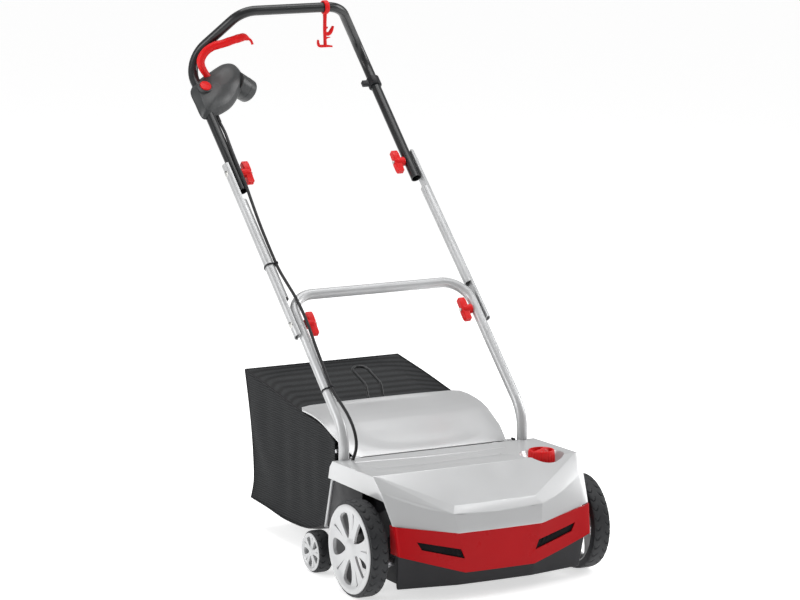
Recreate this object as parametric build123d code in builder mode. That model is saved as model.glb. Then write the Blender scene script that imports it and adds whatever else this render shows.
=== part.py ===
from build123d import *

import os
from math import atan2, cos, degrees, hypot, radians, sin

os.makedirs("parts", exist_ok=True)

# ------------------------------------------------------------------ driving dimensions, mm
FRONT_AXLE_Y = -387.05     # front axle, from the middle of the machine's length
WHEELBASE = 215.0
FRONT_WHEEL_R = 100.0
FRONT_WHEEL_OUT = 281.0    # outer face of the front wheels, from the middle plane
FRONT_WHEEL_W = 44.0
REAR_WHEEL_R = 45.0
REAR_WHEEL_OUT = 260.5
REAR_WHEEL_W = 35.0
AXLE_R = 6.0
RUNNING_GAP = 0.05         # radial clearance of a shaft in its bore

TUBE_R = 11.0              # handle tubes
TUBE_WALL = 1.5
LEG_X = 211.0              # lower frame and upper handle
MIDDLE_X = 222.8           # middle tubes; their half-round ends lie outside the other two
LOWER_PIVOT = (358.0, 496.2)
UPPER_PIVOT = (666.0, 777.0)
PIVOT_BOLT_R = 4.0

REEL_CENTRE = (45.0, 96.0)
REEL_R = 75.0
MOTOR_CENTRE = (-55.0, 162.0)
MOTOR_R = 36.0
CARRIER_BAR = (-62.0, 80.0)
DEPTH_TRAVEL = 24.0
PLATE_X = 196.0            # middle of the chassis side plates
PLATE_T = 4.0
SKIN = 3.0                 # wall of the plastic covers

KNOB_CENTRE = (168.0, 0.0)
FLAP_HINGE = (166.0, 243.0)


# ------------------------------------------------------------------ places and planes
def at(x, y, z):
    """A point measured from the ground below the middle of the front axle."""
    return (x, FRONT_AXLE_Y + y, z)


def side_plane(x):
    """Upright plane across X: its own axes are the distance behind the front axle and the height."""
    return Plane(origin=at(x, 0, 0), x_dir=(0, 1, 0), z_dir=(1, 0, 0))


def top_plane(z):
    """Level plane: its own axes are X and the distance behind the front axle."""
    return Plane(origin=at(0, 0, z), x_dir=(1, 0, 0), z_dir=(0, 0, 1))


def front_plane(y):
    """Upright plane facing the front: its own axes are X and the height."""
    return Plane(origin=at(0, y, 0), x_dir=(1, 0, 0), z_dir=(0, -1, 0))


def facet(points, inset):
    """Plane through three points of a skin, its normal outwards, moved inwards by the inset."""
    first, second, third = (Vector(*at(*point)) for point in points)
    normal = (second - first).cross(third - first).normalized()
    inside = Vector(*at(0, 40, 60))
    if normal.dot(inside - first) > 0:
        normal = normal * -1
    return Plane(origin=first - normal * inset, z_dir=normal)


def mirrored(points):
    """Close a half outline that is given on the +X side."""
    return list(points) + [(-x, y) for x, y in reversed(points)]


# ------------------------------------------------------------------ saving
def save(piece, name):
    piece.label = name
    export_step(piece, f"parts/{name}.step")


def save_pair(left_piece, name):
    """Save a piece made on the left, -X side, and its mirror image on the right."""
    save(left_piece, f"{name}_left")
    save(mirror(left_piece, about=Plane.YZ), f"{name}_right")


# ------------------------------------------------------------------ common shapes
def rod_x(centre, radius, low_x, high_x):
    """Round rod along X at a point of the side plane."""
    with BuildPart() as rod:
        with BuildSketch(side_plane(low_x)):
            with Locations(centre):
                Circle(radius)
        extrude(amount=high_x - low_x)
    return rod.part


def swept_tube(points, radii, outer, inner):
    """Round tube along straight runs joined by arcs; inner 0 makes a solid rod."""
    with BuildPart() as tube:
        with BuildLine() as route:
            FilletPolyline(*[at(*point) for point in points], radius=radii)
        with BuildSketch(Plane(origin=route.line @ 0, z_dir=route.line % 0)):
            Circle(outer)
            if inner > 0:
                Circle(inner, mode=Mode.SUBTRACT)
        sweep()
    return tube.part


# ------------------------------------------------------------------ wheels
def tyre(centre, radius, bead_r, outer_x, width):
    """Left tyre: a ring with rounded shoulders, turned about the axle."""
    inner_x = outer_x - width
    with BuildPart() as ring:
        with BuildSketch(Plane(origin=at(0, centre[0], centre[1]), x_dir=(-1, 0, 0), z_dir=(0, 1, 0))):
            with BuildLine():
                Polyline(
                    (inner_x, bead_r), (outer_x - 1.5, bead_r), (outer_x - 1.5, radius - 6),
                    (outer_x - 5, radius - 1), (outer_x - 12, radius), (inner_x + 12, radius),
                    (inner_x + 5, radius - 1), (inner_x, radius - 6), close=True,
                )
            make_face()
        revolve(axis=Axis(at(0, centre[0], centre[1]), (1, 0, 0)))
    return ring.part


def rim(centre, rim_r, barrel_r, hub_r, outer_x, width, window):
    """Left rim: barrel, dished disc with five windows, grooved spokes and a blind hub."""
    inner_x = outer_x - width
    face_t = width * 0.13
    with BuildPart() as disc:
        with BuildSketch(Plane(origin=at(0, centre[0], centre[1]), x_dir=(-1, 0, 0), z_dir=(0, 1, 0))):
            with BuildLine():
                Polyline(
                    (inner_x, barrel_r - 4), (inner_x, barrel_r), (outer_x - 1.5, barrel_r),
                    (outer_x - 1.5, rim_r), (outer_x, rim_r - 1), (outer_x, barrel_r - 6),
                    (outer_x - 2, hub_r + 2), (outer_x - 1, hub_r), (outer_x - 1, 0),
                    (outer_x - face_t, 0), (outer_x - face_t, AXLE_R + RUNNING_GAP),
                    (inner_x + 2, AXLE_R + RUNNING_GAP), (inner_x + 2, hub_r - 2),
                    (outer_x - face_t, hub_r), (outer_x - face_t, barrel_r - 4), close=True,
                )
            make_face()
        revolve(axis=Axis(at(0, centre[0], centre[1]), (1, 0, 0)))
        root_r, tip_r, half_tip = window
        with BuildSketch(side_plane(-outer_x - 5)):
            with Locations(centre):
                with PolarLocations(0, 5, start_angle=18):
                    Polygon(
                        (root_r, -half_tip * 0.2), (tip_r, -half_tip), (tip_r + half_tip * 0.15, 0),
                        (tip_r, half_tip), (root_r, half_tip * 0.2), align=None,
                    )
            fillet(vertices(), radius=half_tip * 0.13)
        extrude(amount=face_t + 8, mode=Mode.SUBTRACT)
        with BuildSketch(side_plane(-outer_x - 1)):
            with Locations(centre):
                with PolarLocations(0, 5, start_angle=54):
                    Polygon((root_r * 1.15, 0), (tip_r, -half_tip * 0.34), (tip_r, half_tip * 0.34),
                            align=None)
        extrude(amount=2.4, mode=Mode.SUBTRACT)
    return disc.part


FRONT_AXLE = (0.0, FRONT_WHEEL_R)
REAR_AXLE = (WHEELBASE, REAR_WHEEL_R)

save_pair(tyre(FRONT_AXLE, FRONT_WHEEL_R, 87.0, FRONT_WHEEL_OUT, FRONT_WHEEL_W), "front_tyre")
save_pair(rim(FRONT_AXLE, 92.0, 87.0, 17.0, FRONT_WHEEL_OUT, FRONT_WHEEL_W - 1, (24.0, 78.0, 21.0)),
          "front_rim")
save_pair(tyre(REAR_AXLE, REAR_WHEEL_R, 37.0, REAR_WHEEL_OUT, REAR_WHEEL_W), "rear_tyre")
save_pair(rim(REAR_AXLE, 40.0, 37.0, 10.5, REAR_WHEEL_OUT, REAR_WHEEL_W - 1, (12.5, 32.5, 9.0)),
          "rear_rim")

# ------------------------------------------------------------------ front axle carrier
ARM_X = 222.0
ARM_T = 6.0
with BuildPart() as front_axle_carrier:
    add(rod_x(CARRIER_BAR, 8.0, -ARM_X - ARM_T, ARM_X + ARM_T))
    for side in (-1, 1):
        with BuildSketch(side_plane(side * (ARM_X + ARM_T / 2))):
            with BuildLine():
                Line(CARRIER_BAR, FRONT_AXLE)
            trace(line_width=20)
            with Locations(CARRIER_BAR, FRONT_AXLE):
                Circle(10)
        extrude(amount=ARM_T / 2, both=True)
        add(rod_x(FRONT_AXLE, AXLE_R, *sorted((side * ARM_X, side * (FRONT_WHEEL_OUT - 7.5)))))
        add(rod_x(FRONT_AXLE, 11.0, *sorted((side * ARM_X, side * (FRONT_WHEEL_OUT - FRONT_WHEEL_W + 2.5)))))
    # bracket that carries the spindle nut
    with BuildSketch(side_plane(KNOB_CENTRE[0])):
        with BuildLine():
            Polyline((CARRIER_BAR[0], 80), (CARRIER_BAR[0], 100), (-42, 120), (-42, 173), (0, 173))
        trace(line_width=5)
    extrude(amount=11, both=True)
    with BuildSketch(top_plane(171.5)):
        with Locations(KNOB_CENTRE):
            Circle(11)
    extrude(amount=11)
    with BuildSketch(top_plane(160)):
        with Locations(KNOB_CENTRE):
            Circle(5 + RUNNING_GAP)
    extrude(amount=30, mode=Mode.SUBTRACT)
save(front_axle_carrier.part, "front_axle_carrier")

# ------------------------------------------------------------------ rear stub axles
with BuildPart() as rear_axles:
    for side in (-1, 1):
        add(rod_x(REAR_AXLE, AXLE_R, *sorted((side * 188.0, side * (REAR_WHEEL_OUT - 6.0)))))
        add(rod_x(REAR_AXLE, 9.0, *sorted((side * 198.0, side * (REAR_WHEEL_OUT - REAR_WHEEL_W + 2.5)))))
save(rear_axles.part, "rear_axles")

# ------------------------------------------------------------------ chassis
TUNNEL_R = REEL_R + 5.5
with BuildPart() as chassis:
    with BuildSketch(side_plane(0)):
        with BuildLine():
            CenterArc(REEL_CENTRE, TUNNEL_R, 90, 130)
        trace(line_width=SKIN)
        with BuildLine():
            Polyline((REEL_CENTRE[0], REEL_CENTRE[1] + TUNNEL_R), (154, 224), (154, 238))
        trace(line_width=SKIN)
        with BuildLine():
            Polyline((119, 62), (129, 84), (234, 92))
        trace(line_width=SKIN)
        with BuildLine():
            Polyline((-80, 34), (-80, 119))
        trace(line_width=SKIN)
        with BuildLine():
            Polyline((-91, 119), (-33, 119))
        trace(line_width=SKIN)
    extrude(amount=PLATE_X, both=True)
    # window for the spindle bracket, which rises with the axle
    with BuildSketch(top_plane(110)):
        with Locations((KNOB_CENTRE[0], -58)):
            Rectangle(30, 46)
    extrude(amount=20, mode=Mode.SUBTRACT)
    for side in (-1, 1):
        with BuildSketch(side_plane(side * PLATE_X)):
            Polygon(
                (-80, 34), (-76, 30), (98, 30), (118, 60), (128, 78), (186, 78), (200, 32),
                (215, 27), (230, 36), (235, 60), (235, 200), (180, 234), (172, 250), (161, 250),
                (155, 234), (40, 212), (-45, 206), (-78, 178), (-92, 150), (-92, 110), align=None,
            )
            with Locations(REEL_CENTRE):
                Circle(17.5, mode=Mode.SUBTRACT)
            with Locations(REAR_AXLE):
                Circle(AXLE_R, mode=Mode.SUBTRACT)
            with Locations(FLAP_HINGE):
                Circle(3.0, mode=Mode.SUBTRACT)
            with Locations((157.5, 140), (157.5, 200)):
                Circle(PIVOT_BOLT_R, mode=Mode.SUBTRACT)
            with Locations((CARRIER_BAR[0], CARRIER_BAR[1] + DEPTH_TRAVEL / 2)):
                SlotOverall(DEPTH_TRAVEL + 18, 17, rotation=90, mode=Mode.SUBTRACT)
            with Locations(MOTOR_CENTRE):
                Circle(12, mode=Mode.SUBTRACT)
        extrude(amount=PLATE_T / 2, both=True)
save(chassis.part, "chassis")


# ------------------------------------------------------------------ skins at the front
def ruled_block(low_z, low_outline, high_z, high_outline, inset):
    """Block between two level outlines, both pulled in by the inset."""
    with BuildPart() as block:
        for z, outline in ((low_z, low_outline), (high_z, high_outline)):
            with BuildSketch(top_plane(z)):
                with BuildLine():
                    Polyline(*mirrored(outline), close=True)
                make_face()
                if inset > 0:
                    offset(amount=-inset, kind=Kind.INTERSECTION, mode=Mode.REPLACE)
        loft(ruled=True)
    return block.part


BUMPER_TOP = ((0, 139.8), (94.5, 139.8), (225.4, 160.6), (300, 172.4))
BUMPER_BOTTOM = ((0, 56.5), (80, 56.5), (222.9, 101.2), (300, 125.3))


def front_profile(points, edge_z):
    """Face seen from the front, between a line across the machine and a far level edge."""
    with BuildSketch(front_plane(-60)) as profile:
        with BuildLine():
            Polyline(*mirrored(list(points) + [(300, edge_z)])[1:], close=True)
        make_face()
    return profile.sketch


SKIRT_LOW = ((0, -106), (86, -105), (212, -82), (212, -40))
SKIRT_HIGH = ((0, -126), (90, -124), (219, -97), (219, -40))
with BuildPart() as front_skirt:
    add(ruled_block(26, SKIRT_LOW, 112, SKIRT_HIGH, 0))
    add(ruled_block(26, SKIRT_LOW, 112, SKIRT_HIGH, SKIN), mode=Mode.SUBTRACT)
    with BuildSketch(side_plane(0)):
        with Locations((0, 100)):
            Rectangle(156, 300)
    extrude(amount=300, both=True, mode=Mode.SUBTRACT)
    extrude(front_profile([(x, z + 9) for x, z in BUMPER_BOTTOM], 250), amount=90, mode=Mode.SUBTRACT)
save(front_skirt.part, "front_skirt")

BUMPER_LOW = ((0, -127), (80, -126), (221, -118), (221, -66))
BUMPER_HIGH = ((0, -131), (97, -129), (226, -98), (226, -66))


def vent_blocks(grow):
    """Blocks through the bumper where its two slanted slots are, larger all round by the growth."""
    with BuildPart() as blocks:
        for side in (-1, 1):
            with BuildSketch(front_plane(-90)):
                Polygon((side * 184, 128), (side * 90, 106), (side * 82, 86), (side * 174, 111),
                        align=None)
                if grow > 0:
                    offset(amount=grow, kind=Kind.INTERSECTION, mode=Mode.REPLACE)
                else:
                    fillet(vertices(), radius=3)
            extrude(amount=60)
    return blocks.part


with BuildPart() as front_bumper:
    add(ruled_block(50, BUMPER_LOW, 172, BUMPER_HIGH, 0))
    add(ruled_block(50, BUMPER_LOW, 172, BUMPER_HIGH, SKIN), mode=Mode.SUBTRACT)
    with BuildSketch(side_plane(0)):
        with Locations((13, 100)):
            Rectangle(174, 300)
    extrude(amount=300, both=True, mode=Mode.SUBTRACT)
    extrude(front_profile(BUMPER_TOP, 250), amount=90, mode=Mode.SUBTRACT)
    extrude(front_profile(BUMPER_BOTTOM, 0), amount=90, mode=Mode.SUBTRACT)
    add(vent_blocks(0), mode=Mode.SUBTRACT)
save(front_bumper.part, "front_bumper")

with BuildPart() as vent_screens:
    add(vent_blocks(5))
    add(ruled_block(50, BUMPER_LOW, 172, BUMPER_HIGH, SKIN + 0.4), mode=Mode.INTERSECT)
    add(ruled_block(50, BUMPER_LOW, 172, BUMPER_HIGH, SKIN + 2.4), mode=Mode.SUBTRACT)
save(vent_screens.part, "vent_screens")

# ------------------------------------------------------------------ hood
HOOD_LOW = ((0, -131.5), (94.5, -129.6), (224.6, -103.5), (224.6, 190))
HOOD_HIGH = ((0, -98), (119, -95.3), (239.3, -39.8), (239.3, 190))
HOOD_FACETS = (
    ((0, -20, 252), (100, -20, 252), (0, 161, 248)),                             # deck
    ((93.6, -104.6, 192.0), (-93.6, -104.6, 192.0), (0, -29, 251)),              # sloping panel
    ((93.6, -104.6, 192.0), (-93.6, -104.6, 192.0), (0, -117.9, 177.4)),         # front bevel
    ((93.6, -104.6, 192.0), (211.9, -31.9, 250.3), (102.8, -117.9, 177.4)),      # right bevel
    ((-93.6, -104.6, 192.0), (-211.9, -31.9, 250.3), (-102.8, -117.9, 177.4)),   # left bevel
)


def hood_block(inset):
    with BuildPart() as block:
        add(ruled_block(139.8, HOOD_LOW, 250, HOOD_HIGH, inset))
        extrude(block.faces().sort_by(Axis.Z)[-1], amount=12)
        for points in HOOD_FACETS:
            split(bisect_by=facet(points, inset), keep=Keep.BOTTOM)
    return block.part


with BuildPart() as hood:
    add(hood_block(0))
    add(hood_block(SKIN), mode=Mode.SUBTRACT)
    extrude(front_profile(BUMPER_TOP, 0), amount=90, mode=Mode.SUBTRACT)
    with BuildSketch(side_plane(0)):
        # wheel arches
        with BuildLine():
            Polyline((-62, 206), (250, 206), (250, 100), (-124, 100), close=True)
        make_face()
        # sloping rear end
        with BuildLine():
            Polyline((150, 250), (169, 233), (183, 206), (183, 190), (300, 190), (300, 300), (150, 300),
                     close=True)
        make_face()
    extrude(amount=300, both=True, mode=Mode.SUBTRACT)
    # the flap lies between the two rear lobes
    with BuildSketch(top_plane(180)):
        with Locations((0, 208)):
            Rectangle(2 * 199.5, 100)
    extrude(amount=100, mode=Mode.SUBTRACT)
    # openings for the frame legs and the knob
    with BuildSketch(top_plane(230)):
        with Locations((-LEG_X, 155.8), (LEG_X, 155.8)):
            Circle(TUBE_R + 1)
        with Locations(KNOB_CENTRE):
            Circle(36)
        with Locations((-197.8, 142.3)):
            Circle(5.8)
    extrude(amount=40, mode=Mode.SUBTRACT)
save(hood.part, "hood")

with BuildPart() as knob_collar:
    with BuildSketch(top_plane(225)):
        with Locations(KNOB_CENTRE):
            Circle(35.7)
    extrude(amount=18)
    with BuildSketch(top_plane(228)):
        with Locations(KNOB_CENTRE):
            Circle(33)
    extrude(amount=20, mode=Mode.SUBTRACT)
    with BuildSketch(top_plane(220)):
        with Locations(KNOB_CENTRE):
            Circle(5 + RUNNING_GAP)
    extrude(amount=20, mode=Mode.SUBTRACT)
save(knob_collar.part, "knob_collar")

with BuildPart() as depth_knob:
    with BuildSketch(top_plane(228.5)):
        with Locations(KNOB_CENTRE):
            Circle(29)
    extrude(amount=33.5)
    with BuildSketch(top_plane(246)):
        with Locations(KNOB_CENTRE):
            Circle(25.5)
            Rectangle(60, 10, rotation=35, mode=Mode.SUBTRACT)
    extrude(amount=20, mode=Mode.SUBTRACT)
    with BuildSketch(top_plane(228.5)):
        with Locations(KNOB_CENTRE):
            with PolarLocations(29.6, 16):
                Circle(1.6)
    extrude(amount=33.5, mode=Mode.SUBTRACT)
save(depth_knob.part, "depth_knob")

with BuildPart() as depth_spindle:
    with BuildSketch(top_plane(169)):
        with Locations(KNOB_CENTRE):
            Circle(5)
    extrude(amount=59.5)
save(depth_spindle.part, "depth_spindle")

# ------------------------------------------------------------------ side covers and rear struts
with BuildPart() as side_cover:
    with BuildSketch(side_plane(-228.5)):
        with BuildLine():
            Polyline((58, 112), (150, 100), (198, 100), (168, 205), (160, 226), (40, 226), (40, 140),
                     close=True)
        make_face()
    extrude(amount=SKIN)
    with BuildSketch(side_plane(-225.5)):
        with Locations((80, 135), (80, 200), (184, 112)):
            Circle(6)
    extrude(amount=225.5 - PLATE_X - PLATE_T / 2)
save_pair(side_cover.part, "side_cover")

with BuildPart() as rear_strut:
    with BuildSketch(side_plane(-231)):
        with BuildLine():
            Line((173.5, 203), (205, 96))
        trace(line_width=7)
    extrude(amount=9)
save_pair(rear_strut.part, "rear_strut")

# ------------------------------------------------------------------ rear flap
with BuildPart() as flap:
    with BuildSketch(side_plane(0)):
        with BuildLine():
            Polyline((162, 245.5), (215, 268), (278, 291), (330, 300.5), (392, 307.5))
        trace(line_width=SKIN)
    extrude(amount=196, both=True)
    with BuildSketch(top_plane(230)):
        with BuildLine():
            Polyline(*mirrored(((178, 150), (192, 225), (195, 280), (196, 392), (150, 385), (60, 379))),
                     close=True)
        make_face()
    extrude(amount=100, mode=Mode.INTERSECT)
    for side in (-1, 1):
        add(rod_x(FLAP_HINGE, 6.0, *sorted((side * 170.0, side * 190.0))))
        add(rod_x(FLAP_HINGE, 3.0 + RUNNING_GAP, *sorted((side * 160.0, side * 195.0))),
            mode=Mode.SUBTRACT)
save(flap.part, "flap")

with BuildPart() as flap_pins:
    for side in (-1, 1):
        add(rod_x(FLAP_HINGE, 3.0, *sorted((side * 174.0, side * 199.0))))
save(flap_pins.part, "flap_pins")

# ------------------------------------------------------------------ motor and belt drive
MOTOR_X = (-178.0, 60.0)
with BuildPart() as motor_housing:
    add(rod_x(MOTOR_CENTRE, MOTOR_R, *MOTOR_X))
    fillet(motor_housing.edges().filter_by(GeomType.CIRCLE), radius=5)
    add(rod_x(MOTOR_CENTRE, MOTOR_R - 3, MOTOR_X[0] + 3, MOTOR_X[1] - 3), mode=Mode.SUBTRACT)
    add(rod_x(MOTOR_CENTRE, 6 + RUNNING_GAP, MOTOR_X[0] - 1, MOTOR_X[0] + 4), mode=Mode.SUBTRACT)
    for foot in (-150, 30):
        with BuildSketch(top_plane(120.5)):
            with Locations((foot, MOTOR_CENTRE[0])):
                Rectangle(16, 38)
        extrude(amount=10)
        add(rod_x(MOTOR_CENTRE, MOTOR_R - 3, MOTOR_X[0] + 3, MOTOR_X[1] - 3), mode=Mode.SUBTRACT)
save(motor_housing.part, "motor_housing")

with BuildPart() as motor_rotor:
    add(rod_x(MOTOR_CENTRE, 6, -218, 52))
    add(rod_x(MOTOR_CENTRE, 24, -120, 0))
    add(rod_x(MOTOR_CENTRE, 10, -160, -130))
    add(rod_x(MOTOR_CENTRE, 10, 10, 42))
    with BuildSketch(side_plane(22)):
        with Locations(MOTOR_CENTRE):
            with PolarLocations(18, 9):
                Rectangle(22, 3)
    extrude(amount=18)
save(motor_rotor.part, "motor_rotor")


def pulley(centre, radius, bore, low_x):
    """Flat-grooved pulley with two flanges."""
    with BuildPart() as wheel:
        add(rod_x(centre, radius, low_x, low_x + 14))
        add(rod_x(centre, radius + 3, low_x, low_x + 2))
        add(rod_x(centre, radius + 3, low_x + 12, low_x + 14))
        add(rod_x(centre, bore + 0.02, low_x - 1, low_x + 15), mode=Mode.SUBTRACT)
    return wheel.part


MOTOR_PULLEY_R = 15.0
REEL_PULLEY_R = 36.0
BELT_X = -215.0
save(pulley(MOTOR_CENTRE, MOTOR_PULLEY_R, 6, BELT_X), "motor_pulley")
save(pulley(REEL_CENTRE, REEL_PULLEY_R, 7.5, BELT_X), "reel_pulley")


def belt_loop(gap, x, width):
    """Solid outline round both pulleys, standing off their grooves by the gap."""
    with BuildPart() as loop:
        with BuildSketch(side_plane(x)):
            with Locations(MOTOR_CENTRE):
                Circle(MOTOR_PULLEY_R + gap)
            with Locations(REEL_CENTRE):
                Circle(REEL_PULLEY_R + gap)
            make_hull()
        extrude(amount=width)
    return loop.part


with BuildPart() as drive_belt:
    add(belt_loop(2.4, BELT_X + 3, 8))
    add(belt_loop(0.3, BELT_X + 2, 10), mode=Mode.SUBTRACT)
save(drive_belt.part, "drive_belt")

with BuildPart() as belt_cover:
    add(belt_loop(9, -220, 220 - PLATE_X - PLATE_T / 2))
    add(belt_loop(6.5, -218, 40), mode=Mode.SUBTRACT)
save(belt_cover.part, "belt_cover")

# ------------------------------------------------------------------ reel
with BuildPart() as reel_shaft:
    add(rod_x(REEL_CENTRE, 7.5, -214, 196))
    add(rod_x(REEL_CENTRE, 12, -186, 186))
save(reel_shaft.part, "reel_shaft")

BLADE_PITCH = 25.0
BLADE_COUNT = 15
BLADE_FIRST_X = -(BLADE_COUNT - 1) * BLADE_PITCH / 2
with BuildPart() as reel_blades:
    for number in range(BLADE_COUNT):
        x = BLADE_FIRST_X + number * BLADE_PITCH
        with BuildSketch(side_plane(x - 1)):
            with Locations(Location((REEL_CENTRE[0], REEL_CENTRE[1], 0), (0, 0, 24 * number))):
                Circle(22)
                with PolarLocations(0, 3):
                    Polygon((-8, 8), (58, 10), (REEL_R - 5, 17), (REEL_R - 10, 26), (REEL_R - 24, 28),
                            (0, 21), align=None)
                Circle(12.02, mode=Mode.SUBTRACT)
        extrude(amount=2)
save(reel_blades.part, "reel_blades")

with BuildPart() as reel_spacers:
    for number in range(BLADE_COUNT - 1):
        x = BLADE_FIRST_X + number * BLADE_PITCH + 1
        add(rod_x(REEL_CENTRE, 16, x, x + BLADE_PITCH - 2))
    add(rod_x(REEL_CENTRE, 12.02, -190, 190), mode=Mode.SUBTRACT)
save(reel_spacers.part, "reel_spacers")

with BuildPart() as reel_bearings:
    for side in (-1, 1):
        add(rod_x(REEL_CENTRE, 17.5, *sorted((side * 188.0, side * 199.0))))
    add(rod_x(REEL_CENTRE, 7.5 + RUNNING_GAP, -230, 230), mode=Mode.SUBTRACT)
save(reel_bearings.part, "reel_bearings")

# ------------------------------------------------------------------ handle tubes
FRAME_CORNER = (413.7, 548.4)
lower_frame_points = [
    (-LEG_X, 157.5, 120), (-LEG_X, 155, 306), (-LEG_X, *FRAME_CORNER),
    (LEG_X, *FRAME_CORNER), (LEG_X, 155, 306), (LEG_X, 157.5, 120),
]
with BuildPart() as lower_frame:
    add(swept_tube(lower_frame_points, [90, 56, 56, 90], TUBE_R, TUBE_R - TUBE_WALL))
    for centre in (LOWER_PIVOT, (157.5, 140), (157.5, 200)):
        add(rod_x(centre, PIVOT_BOLT_R + RUNNING_GAP, -240, 240), mode=Mode.SUBTRACT)
save(lower_frame.part, "lower_frame")

with BuildPart() as leg_bolts:
    for side in (-1, 1):
        for centre in ((157.5, 140), (157.5, 200)):
            add(rod_x(centre, PIVOT_BOLT_R, *sorted((side * 188.0, side * 223.0))))
            add(rod_x(centre, 6.5, *sorted((side * 222.2, side * 225.0))))
            add(rod_x(centre, 6.5, *sorted((side * 188.0, side * 194.0))))
save(leg_bolts.part, "leg_bolts")

SHOULDER = (215.0, 905.0, 997.0)
GRIP_CORNER = (120.6, 817.0, 1110.6)
upper_handle_points = [
    (-LEG_X, 630, 743.7), (-SHOULDER[0], *SHOULDER[1:]), (-GRIP_CORNER[0], *GRIP_CORNER[1:]),
    GRIP_CORNER, SHOULDER, (LEG_X, 630, 743.7),
]
with BuildPart() as upper_handle:
    add(swept_tube(upper_handle_points, [62, 60, 60, 62], TUBE_R, TUBE_R - TUBE_WALL))
    add(rod_x(UPPER_PIVOT, PIVOT_BOLT_R + RUNNING_GAP, -240, 240), mode=Mode.SUBTRACT)
save(upper_handle.part, "upper_handle")

# the middle tubes run past both pivots; their ends are pressed half round, flat towards the legs
run = hypot(UPPER_PIVOT[0] - LOWER_PIVOT[0], UPPER_PIVOT[1] - LOWER_PIVOT[1])
along = ((UPPER_PIVOT[0] - LOWER_PIVOT[0]) / run, (UPPER_PIVOT[1] - LOWER_PIVOT[1]) / run)
across = (-along[1], along[0])
END_PAST_LOWER = 30.0
END_PAST_UPPER = 25.0
PRESSED_LOWER = 98.0
PRESSED_UPPER = 103.0


def middle_plane(distance):
    """Plane across the left middle tube, at a distance along it from the lower pivot."""
    y = LOWER_PIVOT[0] + distance * along[0]
    z = LOWER_PIVOT[1] + distance * along[1]
    return Plane(origin=at(-MIDDLE_X, y, z), x_dir=(1, 0, 0), z_dir=(0, *along))


with BuildPart() as middle_tube:
    with BuildSketch(middle_plane(PRESSED_LOWER - END_PAST_LOWER)):
        Circle(TUBE_R)
        Circle(TUBE_R - TUBE_WALL, mode=Mode.SUBTRACT)
    extrude(amount=run + END_PAST_LOWER + END_PAST_UPPER - PRESSED_LOWER - PRESSED_UPPER)
    for start, length in (
        (-END_PAST_LOWER, PRESSED_LOWER),
        (run + END_PAST_UPPER - PRESSED_UPPER, PRESSED_UPPER),
    ):
        with BuildSketch(middle_plane(start)):
            Circle(TUBE_R)
            Circle(TUBE_R - TUBE_WALL, mode=Mode.SUBTRACT)
            with Locations((-TUBE_WALL / 2, 0)):
                Rectangle(TUBE_WALL, 2 * TUBE_R - 1)
            with Locations((TUBE_R, 0)):
                Rectangle(2 * TUBE_R, 3 * TUBE_R, mode=Mode.SUBTRACT)
        extrude(amount=length)
    for centre in (LOWER_PIVOT, UPPER_PIVOT):
        add(rod_x(centre, 8, -240, -229.8), mode=Mode.SUBTRACT)
        with BuildSketch(side_plane(-229.8)):
            with Locations(centre):
                Circle(8)
        extrude(amount=TUBE_WALL)
        add(rod_x(centre, PIVOT_BOLT_R + 0.02, -260, -200), mode=Mode.SUBTRACT)
save_pair(middle_tube.part, "middle_tube")


def pivot_bolts(centre):
    """Carriage bolts: a low dome in the dimple of the middle tube, the shank through both tubes."""
    with BuildPart() as bolts:
        for side in (-1, 1):
            add(rod_x(centre, PIVOT_BOLT_R, *sorted((side * 172.0, side * 230.0))))
            add(rod_x(centre, 7.5, *sorted((side * 229.8, side * 233.4))))
        rims = bolts.edges().filter_by(GeomType.CIRCLE).filter_by(lambda edge: edge.radius > 7)
        fillet(rims.filter_by(lambda edge: abs(edge.center().X) > 233), radius=3)
    return bolts.part


with BuildPart() as bolts:
    add(pivot_bolts(LOWER_PIVOT))
    add(pivot_bolts(UPPER_PIVOT))
save(bolts.part, "pivot_bolts")


def wing_nut(centre):
    """Left wing nut on the inner side of a tube: a hub with two offset wings."""
    turn = degrees(atan2(along[1], along[0]))
    with BuildPart() as nut:
        add(rod_x(centre, 10.5, -199.6, -178))
        with BuildSketch(side_plane(-191)):
            with Locations(Location((centre[0], centre[1], 0), (0, 0, turn))):
                Polygon((-27, -9), (-4, -10), (2, -6), (27, -3), (27, 9), (4, 10), (-2, 6), (-27, 3),
                        align=None)
            fillet(vertices(), radius=1.5)
        extrude(amount=16)
        add(rod_x(centre, PIVOT_BOLT_R + 0.02, -200, -171.8), mode=Mode.SUBTRACT)
    return nut.part


save_pair(wing_nut(LOWER_PIVOT), "lower_wing_nut")
save_pair(wing_nut(UPPER_PIVOT), "upper_wing_nut")


# ------------------------------------------------------------------ on the upper handle
def handle_plane(raised):
    """Plane of the handle: its own axes are X and the distance up the tubes from the upper pivot."""
    y = UPPER_PIVOT[0] + raised * across[0]
    z = UPPER_PIVOT[1] + raised * across[1]
    return Plane(origin=at(0, y, z), x_dir=(1, 0, 0), z_dir=(0, *across))


def on_handle(x, distance, raised):
    """Point by the handle: X, distance up the tubes from the upper pivot, height over their plane."""
    y = UPPER_PIVOT[0] + distance * along[0] + raised * across[0]
    z = UPPER_PIVOT[1] + distance * along[1] + raised * across[1]
    return (x, y, z)


def leg_rod(low, high, radius):
    """Rod along the left leg of the upper handle, between two distances from the upper pivot."""
    foot = Vector(*at(-LEG_X, 630, 743.7))
    shoulder = Vector(*at(-SHOULDER[0], *SHOULDER[1:]))
    direction = (shoulder - foot).normalized()
    with BuildPart() as rod:
        with BuildSketch(Plane(origin=foot + direction * (low + 49), x_dir=(1, 0, 0), z_dir=direction)):
            Circle(radius)
        extrude(amount=high - low)
    return rod.part


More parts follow.
